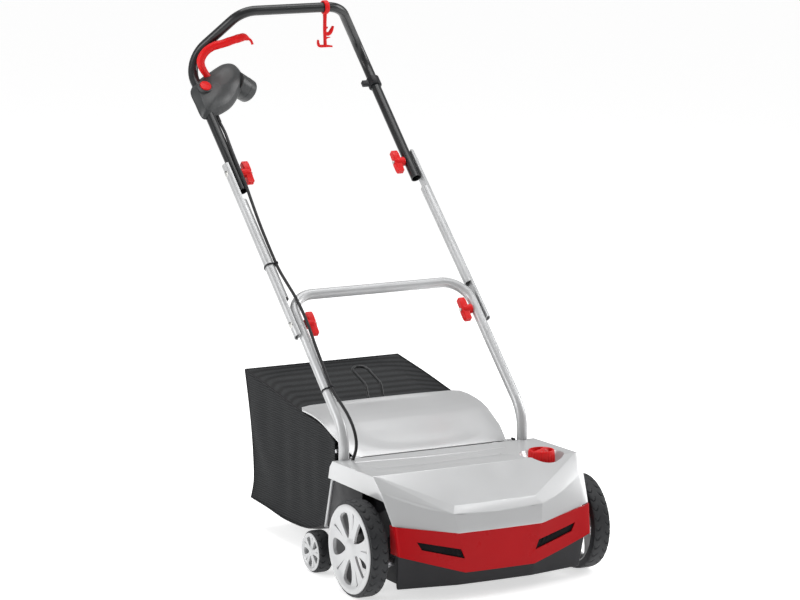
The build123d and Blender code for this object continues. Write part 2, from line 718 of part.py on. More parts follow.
LEAD_R = 3.3
LEAD_POINTS = (
    on_handle(-196, 150, -2), on_handle(-198.5, 118, 8), on_handle(-204, 70, 13), on_handle(-207, 20, 15.5),
    on_handle(-206, -30, 15.5), on_handle(-209, -85, 14), on_handle(-212, -150, 13),
    on_handle(-212.5, -205, 12), on_handle(-212, -243, 11.2), on_handle(-212, -273, 11.2),
    on_handle(-208, -315, 14), on_handle(-203, -360, 17), on_handle(-201, -417, 17),
    on_handle(-205, -480, 16.5), on_handle(-206, -535, 14), on_handle(-207, -575, 12.2),
    on_handle(-207, -605, 12.2), (-203, 188, 362), (-197, 159, 336),
    (-193, 141, 308), (-192, 134, 280), (-195, 138, 259), (-199, 144, 242),
)

TUBE_FIT = TUBE_R + 0.15
BOX_OUTLINE = ((-231, 160), (-233, 240), (-172, 292), (-116, 312), (-97, 276), (-120, 226),
               (-148, 192), (-204, 164))
BOX_DEPTH = 25.0
SHROUD_PLANE = Plane(origin=at(-122.6, 857.4, 950.9), z_dir=(0.83, 0.26, -0.49))
SHROUD_R = 27.0
BUTTON_PLACE = (-209, 231)
TRIGGER_PIVOT = on_handle(-180, 258, 8)
TRIGGER_POINTS = (
    TRIGGER_PIVOT, (-194, 851, 1000), (-190, 847, 1030), (-170, 840, 1046), (-120, 819, 1055),
    (-106, 809, 1040),
)
TRIGGER_ARCS = (30, 15, 20, 12)


def box_half(inset):
    """Half of the switch box above the handle plane, pulled in by the inset."""
    with BuildPart() as half:
        with BuildSketch(handle_plane(0)):
            Polygon(*BOX_OUTLINE, align=None)
            fillet(vertices(), radius=14)
            if inset > 0:
                offset(amount=-inset, mode=Mode.REPLACE)
        extrude(amount=BOX_DEPTH - inset)
        top = half.faces().sort_by(Axis(at(0, 0, 0), (0, *across)))[-1]
        chamfer(top.edges(), length=8)
    return half.part


def shroud_rod(radius, low, high):
    with BuildPart() as rod:
        with BuildSketch(SHROUD_PLANE.offset(low)):
            Circle(radius)
        extrude(amount=high - low)
    return rod.part


def lead_cone(growth):
    """Tapered sleeve of the lead where it leaves the switch box."""
    first, second = (Vector(*at(*point)) for point in LEAD_POINTS[:2])
    back = (first - second).normalized()
    with BuildPart() as cone:
        with BuildSketch(Plane(origin=first - back * 2, z_dir=back)):
            Circle(4.6 + growth)
        with BuildSketch(Plane(origin=first + back * 24, z_dir=back)):
            Circle(7 + growth)
        loft()
    return cone.part


def switch_shell(outside, inside):
    """Half shell of the switch box, cut out for the tube, the inlet and the lead's sleeve."""
    with BuildPart() as shell:
        add(outside)
        add(inside, mode=Mode.SUBTRACT)
        add(leg_rod(100, 320, TUBE_FIT), mode=Mode.SUBTRACT)
        add(shroud_rod(SHROUD_R + 0.2, -10, 60), mode=Mode.SUBTRACT)
        add(lead_cone(0.2), mode=Mode.SUBTRACT)
    return shell.part


box_outside = box_half(0)
box_inside = box_half(2.5)
with BuildPart() as switch_box_front:
    add(switch_shell(box_outside, box_inside))
    with BuildSketch(handle_plane(10)):
        with Locations(BUTTON_PLACE):
            Circle(11.8)
    extrude(amount=30, mode=Mode.SUBTRACT)
    with BuildSketch(handle_plane(4)):
        with Locations(Location((-189, 271, 0), (0, 0, 125))):
            SlotOverall(50, 24)
    extrude(amount=30, mode=Mode.SUBTRACT)
save(switch_box_front.part, "switch_box_front")

mirror_plane = handle_plane(0)
save(switch_shell(mirror(box_outside, about=mirror_plane), mirror(box_inside, about=mirror_plane)),
     "switch_box_rear")

with BuildPart() as inlet_shroud:
    add(shroud_rod(SHROUD_R, 10, 48))
    add(shroud_rod(SHROUD_R - SKIN, 14, 60), mode=Mode.SUBTRACT)
save(inlet_shroud.part, "inlet_shroud")

with BuildPart() as inlet_pins:
    with BuildSketch(SHROUD_PLANE.offset(14)):
        with PolarLocations(9, 3):
            Circle(2.4)
    extrude(amount=19)
save(inlet_pins.part, "inlet_pins")

with BuildPart() as lock_button:
    with BuildSketch(handle_plane(18)):
        with Locations(BUTTON_PLACE):
            Circle(11.3)
    extrude(amount=BOX_DEPTH + 3 - 18)
    fillet(lock_button.edges().filter_by(GeomType.CIRCLE), radius=1.5)
save(lock_button.part, "lock_button")

save(swept_tube(TRIGGER_POINTS, TRIGGER_ARCS, 7.5, 0), "switch_trigger")

# clip for the extension lead on the right leg
with BuildPart() as tube_clip:
    add(mirror(leg_rod(220, 242, TUBE_R + 4), about=Plane.YZ))
    with BuildSketch(handle_plane(-5)):
        with Locations((LEG_X - 18, 231)):
            Rectangle(16, 12)
    extrude(amount=10)
    add(mirror(leg_rod(210, 252, TUBE_FIT), about=Plane.YZ), mode=Mode.SUBTRACT)
save(tube_clip.part, "tube_clip")

# hook that takes the pull of the extension lead; it hangs on the grip bar
HOOK_X = 82.0
BAR = GRIP_CORNER[1:]
with BuildPart() as cord_hook:
    with BuildSketch(front_plane(BAR[0] + 4)):
        Polygon((HOOK_X - 4, 1098), (HOOK_X + 4, 1098), (HOOK_X + 4, 1027), (HOOK_X - 4, 1027), align=None)
        Polygon((HOOK_X - 19, 1040), (HOOK_X - 15, 1040), (HOOK_X - 14, 1028), (HOOK_X + 17, 1026),
                (HOOK_X + 17, 1021), (HOOK_X - 19, 1022), align=None)
        Polygon((HOOK_X + 2, 1056), (HOOK_X + 2, 1048), (HOOK_X + 14, 1051), (HOOK_X + 22, 1066),
                (HOOK_X + 18, 1069), (HOOK_X + 11, 1058), align=None)
        Polygon((HOOK_X + 3, 1046), (HOOK_X + 3, 1041), (HOOK_X + 11, 1044), (HOOK_X + 11, 1046),
                align=None)
    extrude(amount=8)
    add(rod_x(BAR, 15.5, HOOK_X - 5, HOOK_X + 5))
    add(rod_x(BAR, 12.0, HOOK_X - 6, HOOK_X + 6), mode=Mode.SUBTRACT)
save(cord_hook.part, "cord_hook")

# ------------------------------------------------------------------ power lead
def lead_radii(points):
    """Arc at each corner: 0.45 of the shorter run over the tangent of half the turn."""
    corners = [Vector(*point) for point in points]
    radii = []
    for before, corner, after in zip(corners, corners[1:], corners[2:]):
        turn = (corner - before).get_angle(after - corner)
        shorter = min((corner - before).length, (after - corner).length)
        radii.append(0.45 * shorter / sin(radians(turn / 2)) * cos(radians(turn / 2)))
    return radii


lead_arcs = lead_radii(LEAD_POINTS)
print("power lead bend radii, mm:", [round(radius) for radius in lead_arcs])
power_lead = swept_tube(LEAD_POINTS, lead_arcs, LEAD_R, 0)
save(power_lead, "power_lead")

with BuildPart() as lead_gland:
    add(lead_cone(0))
    add(swept_tube(LEAD_POINTS[:3], lead_arcs[:1], LEAD_R + 0.2, 0), mode=Mode.SUBTRACT)
save(lead_gland.part, "lead_gland")


def lead_clip(distance, tube_place, lead_place):
    """Snap clip: a band round a tube and a smaller one round the lead; places are X and height."""
    with BuildPart() as clip:
        with BuildSketch(Plane(origin=at(*on_handle(0, distance - 4, 0)), x_dir=(1, 0, 0),
                               z_dir=(0, *along))):
            with Locations(tube_place):
                Circle(TUBE_R + 1.8)
            with Locations(lead_place):
                Circle(LEAD_R + 1.8)
            with Locations(tube_place):
                Circle(TUBE_R + 0.3, mode=Mode.SUBTRACT)
            with Locations(lead_place):
                Circle(LEAD_R + 0.4, mode=Mode.SUBTRACT)
        extrude(amount=8)
    return clip.part


save(lead_clip(-258, (-MIDDLE_X, 0), (-212, -11.2)), "lead_clip_middle")
save(lead_clip(-590, (-LEG_X, 2.4), (-207, -12.2)), "lead_clip_lower")

# ------------------------------------------------------------------ catcher bag
BAG_HALF = 190.0
BAG_SKIN = 2.5
BAG_SIDE = (
    (241, 96), (241, 266), (278, 285), (330, 295), (392, 302), (540, 326), (676, 346), (650, 250),
    (638, 180), (633, 108), (650, 62), (568, 57), (480, 50), (369, 53), (290, 78),
)


def bag_block(inset):
    with BuildPart() as block:
        with BuildSketch(side_plane(0)):
            Polygon(*BAG_SIDE, align=None)
            if inset > 0:
                offset(amount=-inset, kind=Kind.INTERSECTION, mode=Mode.REPLACE)
        extrude(amount=BAG_HALF - inset, both=True)
    return block.part


with BuildPart() as bag_fabric:
    add(bag_block(0))
    add(bag_block(BAG_SKIN), mode=Mode.SUBTRACT)
    with BuildSketch(front_plane(250)):
        with Locations((0, 181)):
            Rectangle(2 * (BAG_HALF - BAG_SKIN), 158)
    extrude(amount=30, mode=Mode.SUBTRACT)
    with BuildSketch(top_plane(290)):
        with Locations((-18, 415.5), (18, 415.5)):
            Circle(5)
    extrude(amount=40, mode=Mode.SUBTRACT)
save(bag_fabric.part, "bag_fabric")

with BuildPart() as bag_frame:
    add(swept_tube([(-182, 248, 103), (-182, 248, 258), (182, 248, 258), (182, 248, 103)], [12, 12],
                   3.5, 0))
    add(rod_x((248, 103), 3.5, -185.5, 185.5))
    for side in (-1, 1):
        with BuildSketch(front_plane(248)):
            with Locations((side * 110, 256)):
                Rectangle(24, 4)
        extrude(amount=26)
save(bag_frame.part, "bag_frame")

with BuildPart() as bag_rest_rod:
    add(rod_x((226, 249.6), 4.0, -(PLATE_X - PLATE_T / 2), PLATE_X - PLATE_T / 2))
save(bag_rest_rod.part, "bag_rest_rod")

bag_handle_points = [
    (-18, 413, 300), (-18, 431, 338), (-18, 504, 363), (18, 504, 363), (18, 431, 338), (18, 413, 300),
]
save(swept_tube(bag_handle_points, [14, 17.5, 17.5, 14], 3.0, 0), "bag_handle")
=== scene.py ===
from math import cos, hypot, pi, radians, sin

import bmesh
import bpy
from mathutils import Matrix, Vector


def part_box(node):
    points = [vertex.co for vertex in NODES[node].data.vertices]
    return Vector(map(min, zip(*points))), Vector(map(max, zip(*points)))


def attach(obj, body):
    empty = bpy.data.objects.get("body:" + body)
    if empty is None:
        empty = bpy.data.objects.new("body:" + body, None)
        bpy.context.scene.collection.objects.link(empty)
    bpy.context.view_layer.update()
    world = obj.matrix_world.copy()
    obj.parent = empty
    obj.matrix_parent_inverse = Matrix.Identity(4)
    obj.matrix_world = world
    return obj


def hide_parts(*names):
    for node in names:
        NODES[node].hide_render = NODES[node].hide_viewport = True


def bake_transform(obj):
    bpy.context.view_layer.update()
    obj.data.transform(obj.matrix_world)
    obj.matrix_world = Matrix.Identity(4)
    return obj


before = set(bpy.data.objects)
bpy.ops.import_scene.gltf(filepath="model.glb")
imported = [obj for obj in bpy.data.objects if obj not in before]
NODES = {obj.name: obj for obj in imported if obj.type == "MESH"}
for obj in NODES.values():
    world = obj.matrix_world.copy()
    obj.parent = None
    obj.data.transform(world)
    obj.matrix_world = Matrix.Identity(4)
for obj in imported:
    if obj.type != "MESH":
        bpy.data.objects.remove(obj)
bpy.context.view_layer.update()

MM = 0.001


# ---- places
def middle(node):
    low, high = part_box(node)
    return (low + high) / 2


AXLE = middle("front_tyre_left") / MM


def at(x, y, z):
    """Point in metres from millimetres measured from the ground below the front axle."""
    return Vector((x, AXLE.y + y, z)) * MM


LOWER_PIVOT = (358.0, 496.2)
UPPER_PIVOT = (666.0, 777.0)
RUN = hypot(UPPER_PIVOT[0] - LOWER_PIVOT[0], UPPER_PIVOT[1] - LOWER_PIVOT[1])
ALONG = ((UPPER_PIVOT[0] - LOWER_PIVOT[0]) / RUN, (UPPER_PIVOT[1] - LOWER_PIVOT[1]) / RUN)
ACROSS = (-ALONG[1], ALONG[0])


def on_handle(x, distance, raised):
    """Point by the handle: X, distance up the tubes from the upper pivot, height over their plane."""
    y = UPPER_PIVOT[0] + distance * ALONG[0] + raised * ACROSS[0]
    z = UPPER_PIVOT[1] + distance * ALONG[1] + raised * ACROSS[1]
    return at(x, y, z)


# ---- materials
def preset(node, **values):
    """Set a node's inputs; the spaces in their names are written as underscores."""
    for name, value in values.items():
        node.inputs[name.replace("_", " ")].default_value = value
    return node


def shader_of(made):
    return made.node_tree.nodes["Principled BSDF"]


def material(name, base, roughness, metallic=0.0, coat=0.0, specular=0.5, sheen=0.0):
    """A principled material with a tree to add detail to."""
    made = bpy.data.materials.new(name)
    made.use_nodes = True
    preset(shader_of(made), Base_Color=(*base, 1), Roughness=roughness, Metallic=metallic, Coat_Weight=coat,
           Coat_Roughness=0.12, Specular_IOR_Level=specular, Sheen_Weight=sheen)
    return made


def coordinates(made, scale=(1, 1, 1)):
    tree = made.node_tree
    source = tree.nodes.new("ShaderNodeTexCoord")
    mapping = preset(tree.nodes.new("ShaderNodeMapping"), Scale=scale)
    tree.links.new(source.outputs["Object"], mapping.inputs["Vector"])
    return mapping.outputs["Vector"]


def noise_node(made, vector, scale, detail):
    tree = made.node_tree
    texture = preset(tree.nodes.new("ShaderNodeTexNoise"), Scale=scale, Detail=detail, Roughness=0.55)
    tree.links.new(vector, texture.inputs["Vector"])
    return texture.outputs["Fac"]


def bump(made, height, strength, distance):
    """Add a bump in front of whatever the shader's normal already takes."""
    tree = made.node_tree
    normal = shader_of(made).inputs["Normal"]
    node = preset(tree.nodes.new("ShaderNodeBump"), Strength=strength, Distance=distance)
    tree.links.new(height, node.inputs["Height"])
    if normal.links:
        tree.links.new(normal.links[0].from_socket, node.inputs["Normal"])
    tree.links.new(node.outputs["Normal"], normal)


def spread(made, fac, socket, low, high):
    """Drive a number of the shader between two values."""
    tree = made.node_tree
    node = preset(tree.nodes.new("ShaderNodeMapRange"), From_Min=0.3, From_Max=0.7, To_Min=low, To_Max=high)
    tree.links.new(fac, node.inputs["Value"])
    tree.links.new(node.outputs["Result"], shader_of(made).inputs[socket])


def tint(made, fac, first, second, low=0.35, high=0.65):
    """Mix the base colour between two colours."""
    tree = made.node_tree
    ramp = tree.nodes.new("ShaderNodeValToRGB")
    for element, position, colour in zip(ramp.color_ramp.elements, (low, high), (first, second)):
        element.position = position
        element.color = (*colour, 1)
    tree.links.new(fac, ramp.inputs["Fac"])
    tree.links.new(ramp.outputs["Color"], shader_of(made).inputs["Base Color"])


def scaled(colour, factor):
    return tuple(channel * factor for channel in colour)


def moulded(name, base, roughness, grain=0.15, coat=0.0, metallic=0.0, variation=0.05, specular=0.3):
    """Moulded plastic: a fine grain, faint mottling and uneven gloss."""
    made = material(name, base, roughness, metallic, coat, specular)
    vector = coordinates(made)
    tint(made, noise_node(made, vector, 9, 3), scaled(base, 1 - variation), scaled(base, 1 + variation))
    spread(made, noise_node(made, vector, 26, 5), "Roughness", roughness * 0.85, roughness * 1.2)
    bump(made, noise_node(made, vector, 1400, 2), grain, 0.0001)
    bump(made, noise_node(made, vector, 60, 2), 0.05, 0.0004)
    return made


def painted(name, base, roughness):
    """Silver lacquer on plastic: metallic flake too fine to see one by one, faint waves, clear coat."""
    made = material(name, base, roughness, metallic=0.25, coat=0.4)
    preset(shader_of(made), Coat_Roughness=0.1)
    vector = coordinates(made)
    tint(made, noise_node(made, vector, 7, 3), scaled(base, 0.985), scaled(base, 1.015))
    spread(made, noise_node(made, vector, 18, 2), "Roughness", roughness * 0.92, roughness * 1.1)
    bump(made, noise_node(made, vector, 9, 1), 0.04, 0.001)
    return made


def powder_coat(name, base, roughness, metallic, coat=0.1, specular=0.35):
    """Powder coat on tube: orange peel and faint flow marks."""
    made = material(name, base, roughness, metallic, coat, specular)
    vector = coordinates(made)
    tint(made, noise_node(made, vector, 14, 3), scaled(base, 0.95), scaled(base, 1.05))
    spread(made, noise_node(made, vector, 40, 4), "Roughness", roughness * 0.85, roughness * 1.25)
    bump(made, noise_node(made, vector, 700, 3), 0.05, 0.0001)
    return made


def turned_metal(name, base, roughness):
    """Drawn or turned steel: fine lines along X and a little dullness."""
    made = material(name, base, roughness, metallic=0.95)
    lines = noise_node(made, coordinates(made, (3, 260, 260)), 6, 5)
    spread(made, lines, "Roughness", roughness * 0.7, roughness * 1.4)
    bump(made, lines, 0.08, 0.0001)
    tint(made, noise_node(made, coordinates(made), 12, 3), scaled(base, 0.9), base)
    return made


def woven(name, base, pitch, depth, roughness, dark=0.45, light=1.5):
    """Woven fabric: warp and weft as crossing waves, with uneven threads."""
    made = material(name, base, roughness, sheen=0.06, specular=0.15)
    tree = made.node_tree
    vector = coordinates(made)
    waves = []
    for direction, spacing in (("X", pitch * 0.4), ("Z", pitch)):
        wave = preset(tree.nodes.new("ShaderNodeTexWave"), Scale=0.314 / spacing, Distortion=1.2, Detail=2,
                      Detail_Scale=3)
        wave.bands_direction = direction
        waves.append(wave)
    slanted = preset(tree.nodes.new("ShaderNodeMapping"), Rotation=(0, 0, radians(45)))
    tree.links.new(vector, slanted.inputs["Vector"])
    tree.links.new(slanted.outputs["Vector"], waves[0].inputs["Vector"])
    tree.links.new(vector, waves[1].inputs["Vector"])
    product = tree.nodes.new("ShaderNodeMath")
    product.operation = "MULTIPLY"
    for wave, factor in zip(waves, product.inputs):
        tree.links.new(wave.outputs["Fac"], factor)
    tint(made, product.outputs["Value"], scaled(base, dark), scaled(base, light), 0.0, 0.7)
    bump(made, waves[1].outputs["Fac"], 0.5, depth)
    bump(made, noise_node(made, vector, 35, 4), 0.25, 0.002)
    return made


def close_weave(name, base, roughness):
    """Coated cover cloth: threads both ways, too fine to count, over a soft mottling."""
    made = material(name, base, roughness, sheen=0.06, specular=0.15)
    warp = noise_node(made, coordinates(made, (90, 1100, 1100)), 1, 2)
    weft = noise_node(made, coordinates(made, (1100, 90, 1100)), 1, 2)
    tint(made, warp, scaled(base, 0.75), scaled(base, 1.3))
    bump(made, warp, 0.4, 0.00015)
    bump(made, weft, 0.4, 0.00015)
    bump(made, noise_node(made, coordinates(made), 35, 4), 0.25, 0.002)
    return made


HOOD = painted("hood_silver", (0.52, 0.525, 0.53), 0.3)
FLAP_SILVER = painted("flap_silver", (0.52, 0.525, 0.53), 0.34)
BUMPER = moulded("bumper_red", (0.37, 0.003, 0.006), 0.3, 0.04, coat=0.03, variation=0.04, specular=0.1)
RED = moulded("red_plastic", (0.62, 0.006, 0.007), 0.4, 0.05, coat=0.03, variation=0.05, specular=0.2)
DARK = moulded("dark_plastic", (0.014, 0.014, 0.016), 0.4, 0.35, variation=0.12, specular=0.2)
INSIDE = moulded("inside_plastic", (0.006, 0.006, 0.007), 0.6, 0.3, variation=0.12, specular=0.1)
SWITCH = moulded("switch_plastic", (0.034, 0.036, 0.037), 0.38, 0.3, variation=0.1, specular=0.4)
RIM = moulded("rim_silver", (0.52, 0.525, 0.53), 0.36, 0.1, coat=0.15, metallic=0.2, variation=0.03)
SILVER = powder_coat("tube_silver", (0.47, 0.475, 0.48), 0.36, 0.35)
BLACK = powder_coat("tube_black", (0.012, 0.013, 0.014), 0.3, 0.0, coat=0.15)
STEEL = turned_metal("steel", (0.5, 0.5, 0.52), 0.3)
ZINC = turned_metal("zinc", (0.62, 0.62, 0.6), 0.32)
BRASS = turned_metal("brass", (0.75, 0.58, 0.28), 0.25)
LEAD = moulded("lead_rubber", (0.012, 0.012, 0.013), 0.42, 0.1, variation=0.1)
TYRE = moulded("tyre_tread", (0.02, 0.021, 0.023), 0.55, 0.5, variation=0.15)
MESH_FABRIC = woven("bag_mesh", (0.022, 0.0235, 0.025), 0.005, 0.0006, 0.85, 0.3, 1.5)
TOP_FABRIC = close_weave("bag_cover", (0.029, 0.0305, 0.03), 0.8)
PIPING = woven("bag_piping", (0.012, 0.012, 0.014), 0.0009, 0.0003, 0.6)

NODE_MATERIALS = {
    DARK: ("chassis", "front_skirt", "side_cover_left", "side_cover_right", "belt_cover", "motor_housing",
           "reel_spacers", "motor_pulley", "reel_pulley", "tube_clip", "lead_clip_middle", "lead_clip_lower"),
    INSIDE: ("vent_screens", "drive_belt"),
    HOOD: ("hood", "knob_collar"),
    FLAP_SILVER: ("flap",),
    BUMPER: ("front_bumper",),
    RED: ("depth_knob", "lower_wing_nut_left", "lower_wing_nut_right", "upper_wing_nut_left",
          "upper_wing_nut_right", "lock_button", "switch_trigger", "cord_hook"),
    SILVER: ("lower_frame", "middle_tube_left", "middle_tube_right", "rear_strut_left", "rear_strut_right"),
    BLACK: ("upper_handle", "bag_frame", "bag_handle"),
    STEEL: ("front_axle_carrier", "rear_axles", "depth_spindle", "flap_pins", "motor_rotor", "reel_shaft",
            "reel_blades", "reel_bearings", "bag_rest_rod"),
    ZINC: ("leg_bolts", "pivot_bolts"),
    BRASS: ("inlet_pins",),
    SWITCH: ("switch_box_front", "switch_box_rear", "inlet_shroud"),
    LEAD: ("power_lead", "lead_gland"),
    TYRE: ("front_tyre_left", "front_tyre_right", "rear_tyre_left", "rear_tyre_right"),
    RIM: ("front_rim_left", "front_rim_right", "rear_rim_left", "rear_rim_right"),
    MESH_FABRIC: ("bag_fabric",),
}
for finish, names in NODE_MATERIALS.items():
    for name in names:
        mesh = NODES[name].data
        mesh.materials.clear()
        mesh.materials.append(finish)


# ---- mesh helpers
def add(name, data):
    """Object in the scene."""
    thing = bpy.data.objects.new(name, data)
    bpy.context.scene.collection.objects.link(thing)
    return thing


def as_mesh(name, shape):
    """Mesh from a bmesh, which is freed."""
    mesh = bpy.data.meshes.new(name)
    shape.to_mesh(mesh)
    shape.free()
    return mesh


def link(name, mesh, finish, smooth_angle=35):
    """Object from a mesh, shaded smooth up to the angle."""
    thing = add(name, mesh)
    mesh.materials.clear()
    mesh.materials.append(finish)
    mesh.polygons.foreach_set("use_smooth", [True] * len(mesh.polygons))
    mesh.set_sharp_from_angle(angle=radians(smooth_angle))
    return thing


def from_bmesh(name, shape, finish, smooth_angle=35):
    return link(name, as_mesh(name, shape), finish, smooth_angle)


def bridge(shape, rings):
    """Quads between each closed ring of vertices and the next."""
    for first, second in zip(rings, rings[1:]):
        for k in range(len(first)):
            shape.faces.new((first[k - 1], first[k], second[k], second[k - 1]))


def solid(rows, shape=None):
    """Closed shape through rings of points, with a flat face on each end."""
    shape = bmesh.new() if shape is None else shape
    rings = [[shape.verts.new(point) for point in row] for row in rows]
    bridge(shape, rings)
    shape.faces.new(rings[0])
    shape.faces.new(rings[-1][::-1])
    bmesh.ops.recalc_face_normals(shape, faces=shape.faces)
    return shape


def settle(piece, body, slot_name, *replaced):
    """Attach a finished piece to its body and hide the CAD parts it replaces."""
    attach(piece, body)
    if replaced:
        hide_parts(*replaced)
    return piece


def bevel_sharp(shape, width, angle, segments, shortest=0.0):
    """Round the edges sharper than the angle and longer than the shortest."""
    chosen = [edge for edge in shape.edges if edge.is_manifold
              and edge.calc_face_angle() > radians(angle) and edge.calc_length() > shortest * MM]
    bmesh.ops.bevel(shape, geom=chosen, offset=width * MM, segments=segments, profile=0.5,
                    affect="EDGES", clamp_overlap=False)


CLIP_NARROW = 0.45


def refined(node, name, body, finish, slot_name, width, narrow=1.0):
    """Copy of a CAD piece with its sharp edges rounded; narrow scales it along the handle."""
    shape = bmesh.new()
    shape.from_mesh(NODES[node].data)
    along = Vector((0, *ALONG))
    centre = middle(node)
    for vert in shape.verts:
        vert.co -= along * (vert.co - centre).dot(along) * (1 - narrow)
    bmesh.ops.remove_doubles(shape, verts=shape.verts, dist=1e-6)
    bmesh.ops.dissolve_limit(shape, angle_limit=radians(0.6), verts=shape.verts, edges=shape.edges)
    bevel_sharp(shape, width, 35, 2, 0.6)
    return settle(from_bmesh(name, shape, finish, 40), body, slot_name, node)


# ---- camera, light and floor
AZIMUTH = radians(-27.927)
ELEVATION = radians(10.091)
LENS_PIXELS = 3633.03
camera_data = bpy.data.cameras.new("camera")
camera_data.sensor_width = 36
camera_data.lens = LENS_PIXELS / 800 * 36
camera_data.clip_end = 100
camera = add("camera", camera_data)
right = Vector((cos(AZIMUTH), sin(AZIMUTH), 0))
back = Vector((sin(AZIMUTH) * cos(ELEVATION), -cos(AZIMUTH) * cos(ELEVATION), sin(ELEVATION)))
up = back.cross(right)
turn = Matrix((right, up, back)).transposed().to_4x4()
camera.matrix_world = Matrix.Translation(at(-3528.8, -6349.8, 1880.7)) @ turn
bpy.context.scene.camera = camera

world = bpy.data.worlds.new("studio")
world.use_nodes = True
preset(world.node_tree.nodes["Background"], Color=(1, 1, 1, 1), Strength=0.42)
bpy.context.scene.world = world
bpy.context.scene.view_settings.view_transform = "Standard"


def area_light(name, place, target, size, power):
    data = bpy.data.lights.new(name, "AREA")
    data.shape = "RECTANGLE"
    data.size, data.size_y = size
    data.energy = power
    lamp = add(name, data)
    lamp.location = place
    lamp.rotation_euler = (target - place).to_track_quat("-Z", "Y").to_euler()


AIM = Vector((0, 0, 0.4))
area_light("top", Vector((0.3, 0.6, 3.5)), AIM, (2.6, 2.0), 62)
area_light("left_box", Vector((-3.0, 0.3, 1.5)), AIM, (1.4, 2.0), 44)
area_light("right_box", Vector((3.0, -0.6, 1.9)), AIM, (1.4, 2.0), 58)
area_light("strip", Vector((1.35, -1.3, 2.7)), Vector((0, -0.48, 0.2)), (1.1, 0.3), 5.5)

floor_shape = bmesh.new()
bmesh.ops.create_grid(floor_shape, x_segments=1, y_segments=1, size=12)
FLOOR = material("floor", (0.85, 0.85, 0.85), 0.7, specular=0.2)
preset(shader_of(FLOOR), Emission_Color=(1, 1, 1, 1), Emission_Strength=0.62)
floor = from_bmesh("floor", floor_shape, FLOOR)


# ---- shapes cut from blocks
def prism(outline, facing, low, high):
    """Closed block from an outline seen along X ("side"), Y ("front") or Z ("top")."""
    place = {"side": lambda p, d: at(d, p[0], p[1]), "front": lambda p, d: at(p[0], d, p[1]),
             "top": lambda p, d: at(p[0], p[1], d)}[facing]
    return solid([[place(point, level) for point in outline] for level in (low, high)])


def disc(centre, radius, sides=48):
    return [(centre[0] + radius * cos(2 * pi * k / sides), centre[1] + radius * sin(2 * pi * k / sides))
            for k in range(sides)]


def cone_shape(centre, levels, sides=64):
    """Closed round shape up Z through (radius, height) levels."""
    return solid([[at(x, y, z) for x, y in disc(centre, radius, sides)] for radius, z in levels])


def mirrored(points):
    return [(-x, y) for x, y in reversed(points) if x > 0] + list(points)


def inset_line(points, amount):
    """Mirrored outline pulled in by the amount."""
    return [(max(x - amount, 0.0) if x > 0 else x, y + amount) for x, y in points[:-1]] + \
        [(points[-1][0] - amount, points[-1][1])]


def ruled(low_z, low_line, high_z, high_line, inset=0.0, rows=10, columns=8):
    """Block between two level outlines open at the rear, as a fine grid with flat ends."""
    low_line = mirrored(inset_line(low_line, inset))
    high_line = mirrored(inset_line(high_line, inset))
    rings = []
    for k in range(rows + 1):
        part = k / rows
        corners = [(a[0] * (1 - part) + b[0] * part, a[1] * (1 - part) + b[1] * part)
                   for a, b in zip(low_line, high_line)]
        line = []
        for first, second in zip(corners, corners[1:]):
            line += [(first[0] + (second[0] - first[0]) * j / columns,
                      first[1] + (second[1] - first[1]) * j / columns) for j in range(columns)]
        line.append(corners[-1])
        z = low_z + (high_z - low_z) * part
        rings.append([at(x, y, z) for x, y in line])
    return solid(rings)


def trim(shape, point, normal):
    """Cut off what lies beyond the plane and close the cut."""
    bmesh.ops.bisect_plane(shape, geom=shape.verts[:] + shape.edges[:] + shape.faces[:],
                           plane_co=point, plane_no=normal, clear_outer=True)
    open_edges = [edge for edge in shape.edges if edge.is_boundary]
    bmesh.ops.holes_fill(shape, edges=open_edges, sides=0)


def round_edges(shape, width, angle, segments):
    bmesh.ops.dissolve_limit(shape, angle_limit=radians(0.02), verts=shape.verts, edges=shape.edges)
    bevel_sharp(shape, width, angle, segments)


def combine(shape, *cuts, within=None):
    """Cut shapes out of a closed one and keep what lies within another; returns a mesh."""
    body = add("cutter", as_mesh("cutter", shape))
    tools = []
    for other in cuts + ((within,) if within else ()):
        tool = add("cutter", as_mesh("cutter", other))
        tools.append(tool)
        modifier = body.modifiers.new("step", "BOOLEAN")
        modifier.operation = "INTERSECT" if other is within else "DIFFERENCE"
        modifier.solver = "EXACT"
        modifier.object = tool
    graph = bpy.context.evaluated_depsgraph_get()
    mesh = bpy.data.meshes.new_from_object(body.evaluated_get(graph))
    for thing in [body] + tools:
        bpy.data.objects.remove(thing)
    return mesh


# ---- hood
HOOD_LOW = ((0, -131.5), (94.5, -129.6), (224.6, -103.5), (224.6, 190))
HOOD_HIGH = ((0, -98), (119, -95.3), (239.3, -39.8), (239.3, 190))
HOOD_TOP = [(low[0] + (high[0] - low[0]) * 1.109, low[1] + (high[1] - low[1]) * 1.109)
            for low, high in zip(HOOD_LOW, HOOD_HIGH)]
HOOD_FACETS = (
    ((0, -20, 252), (100, -20, 252), (0, 161, 248)),
    ((93.6, -104.6, 192.0), (-93.6, -104.6, 192.0), (0, -29, 251)),
    ((93.6, -104.6, 192.0), (-93.6, -104.6, 192.0), (0, -117.9, 177.4)),
    ((93.6, -104.6, 192.0), (211.9, -31.9, 250.3), (102.8, -117.9, 177.4)),
    ((-93.6, -104.6, 192.0), (-211.9, -31.9, 250.3), (-102.8, -117.9, 177.4)),
)
BUMPER_TOP = ((0, 139.8), (94.5, 139.8), (225.4, 160.6), (300, 172.4))
BUMPER_BOTTOM = ((0, 56.5), (80, 56.5), (222.9, 101.2), (300, 125.3))
KNOB_PLACE = (168.0, 0.0)
KNOB_RADIUS = 28.9
DISH = ((36.0, 229.5), (38.5, 231.0), (44.0, 246.0), (52.0, 262.0))


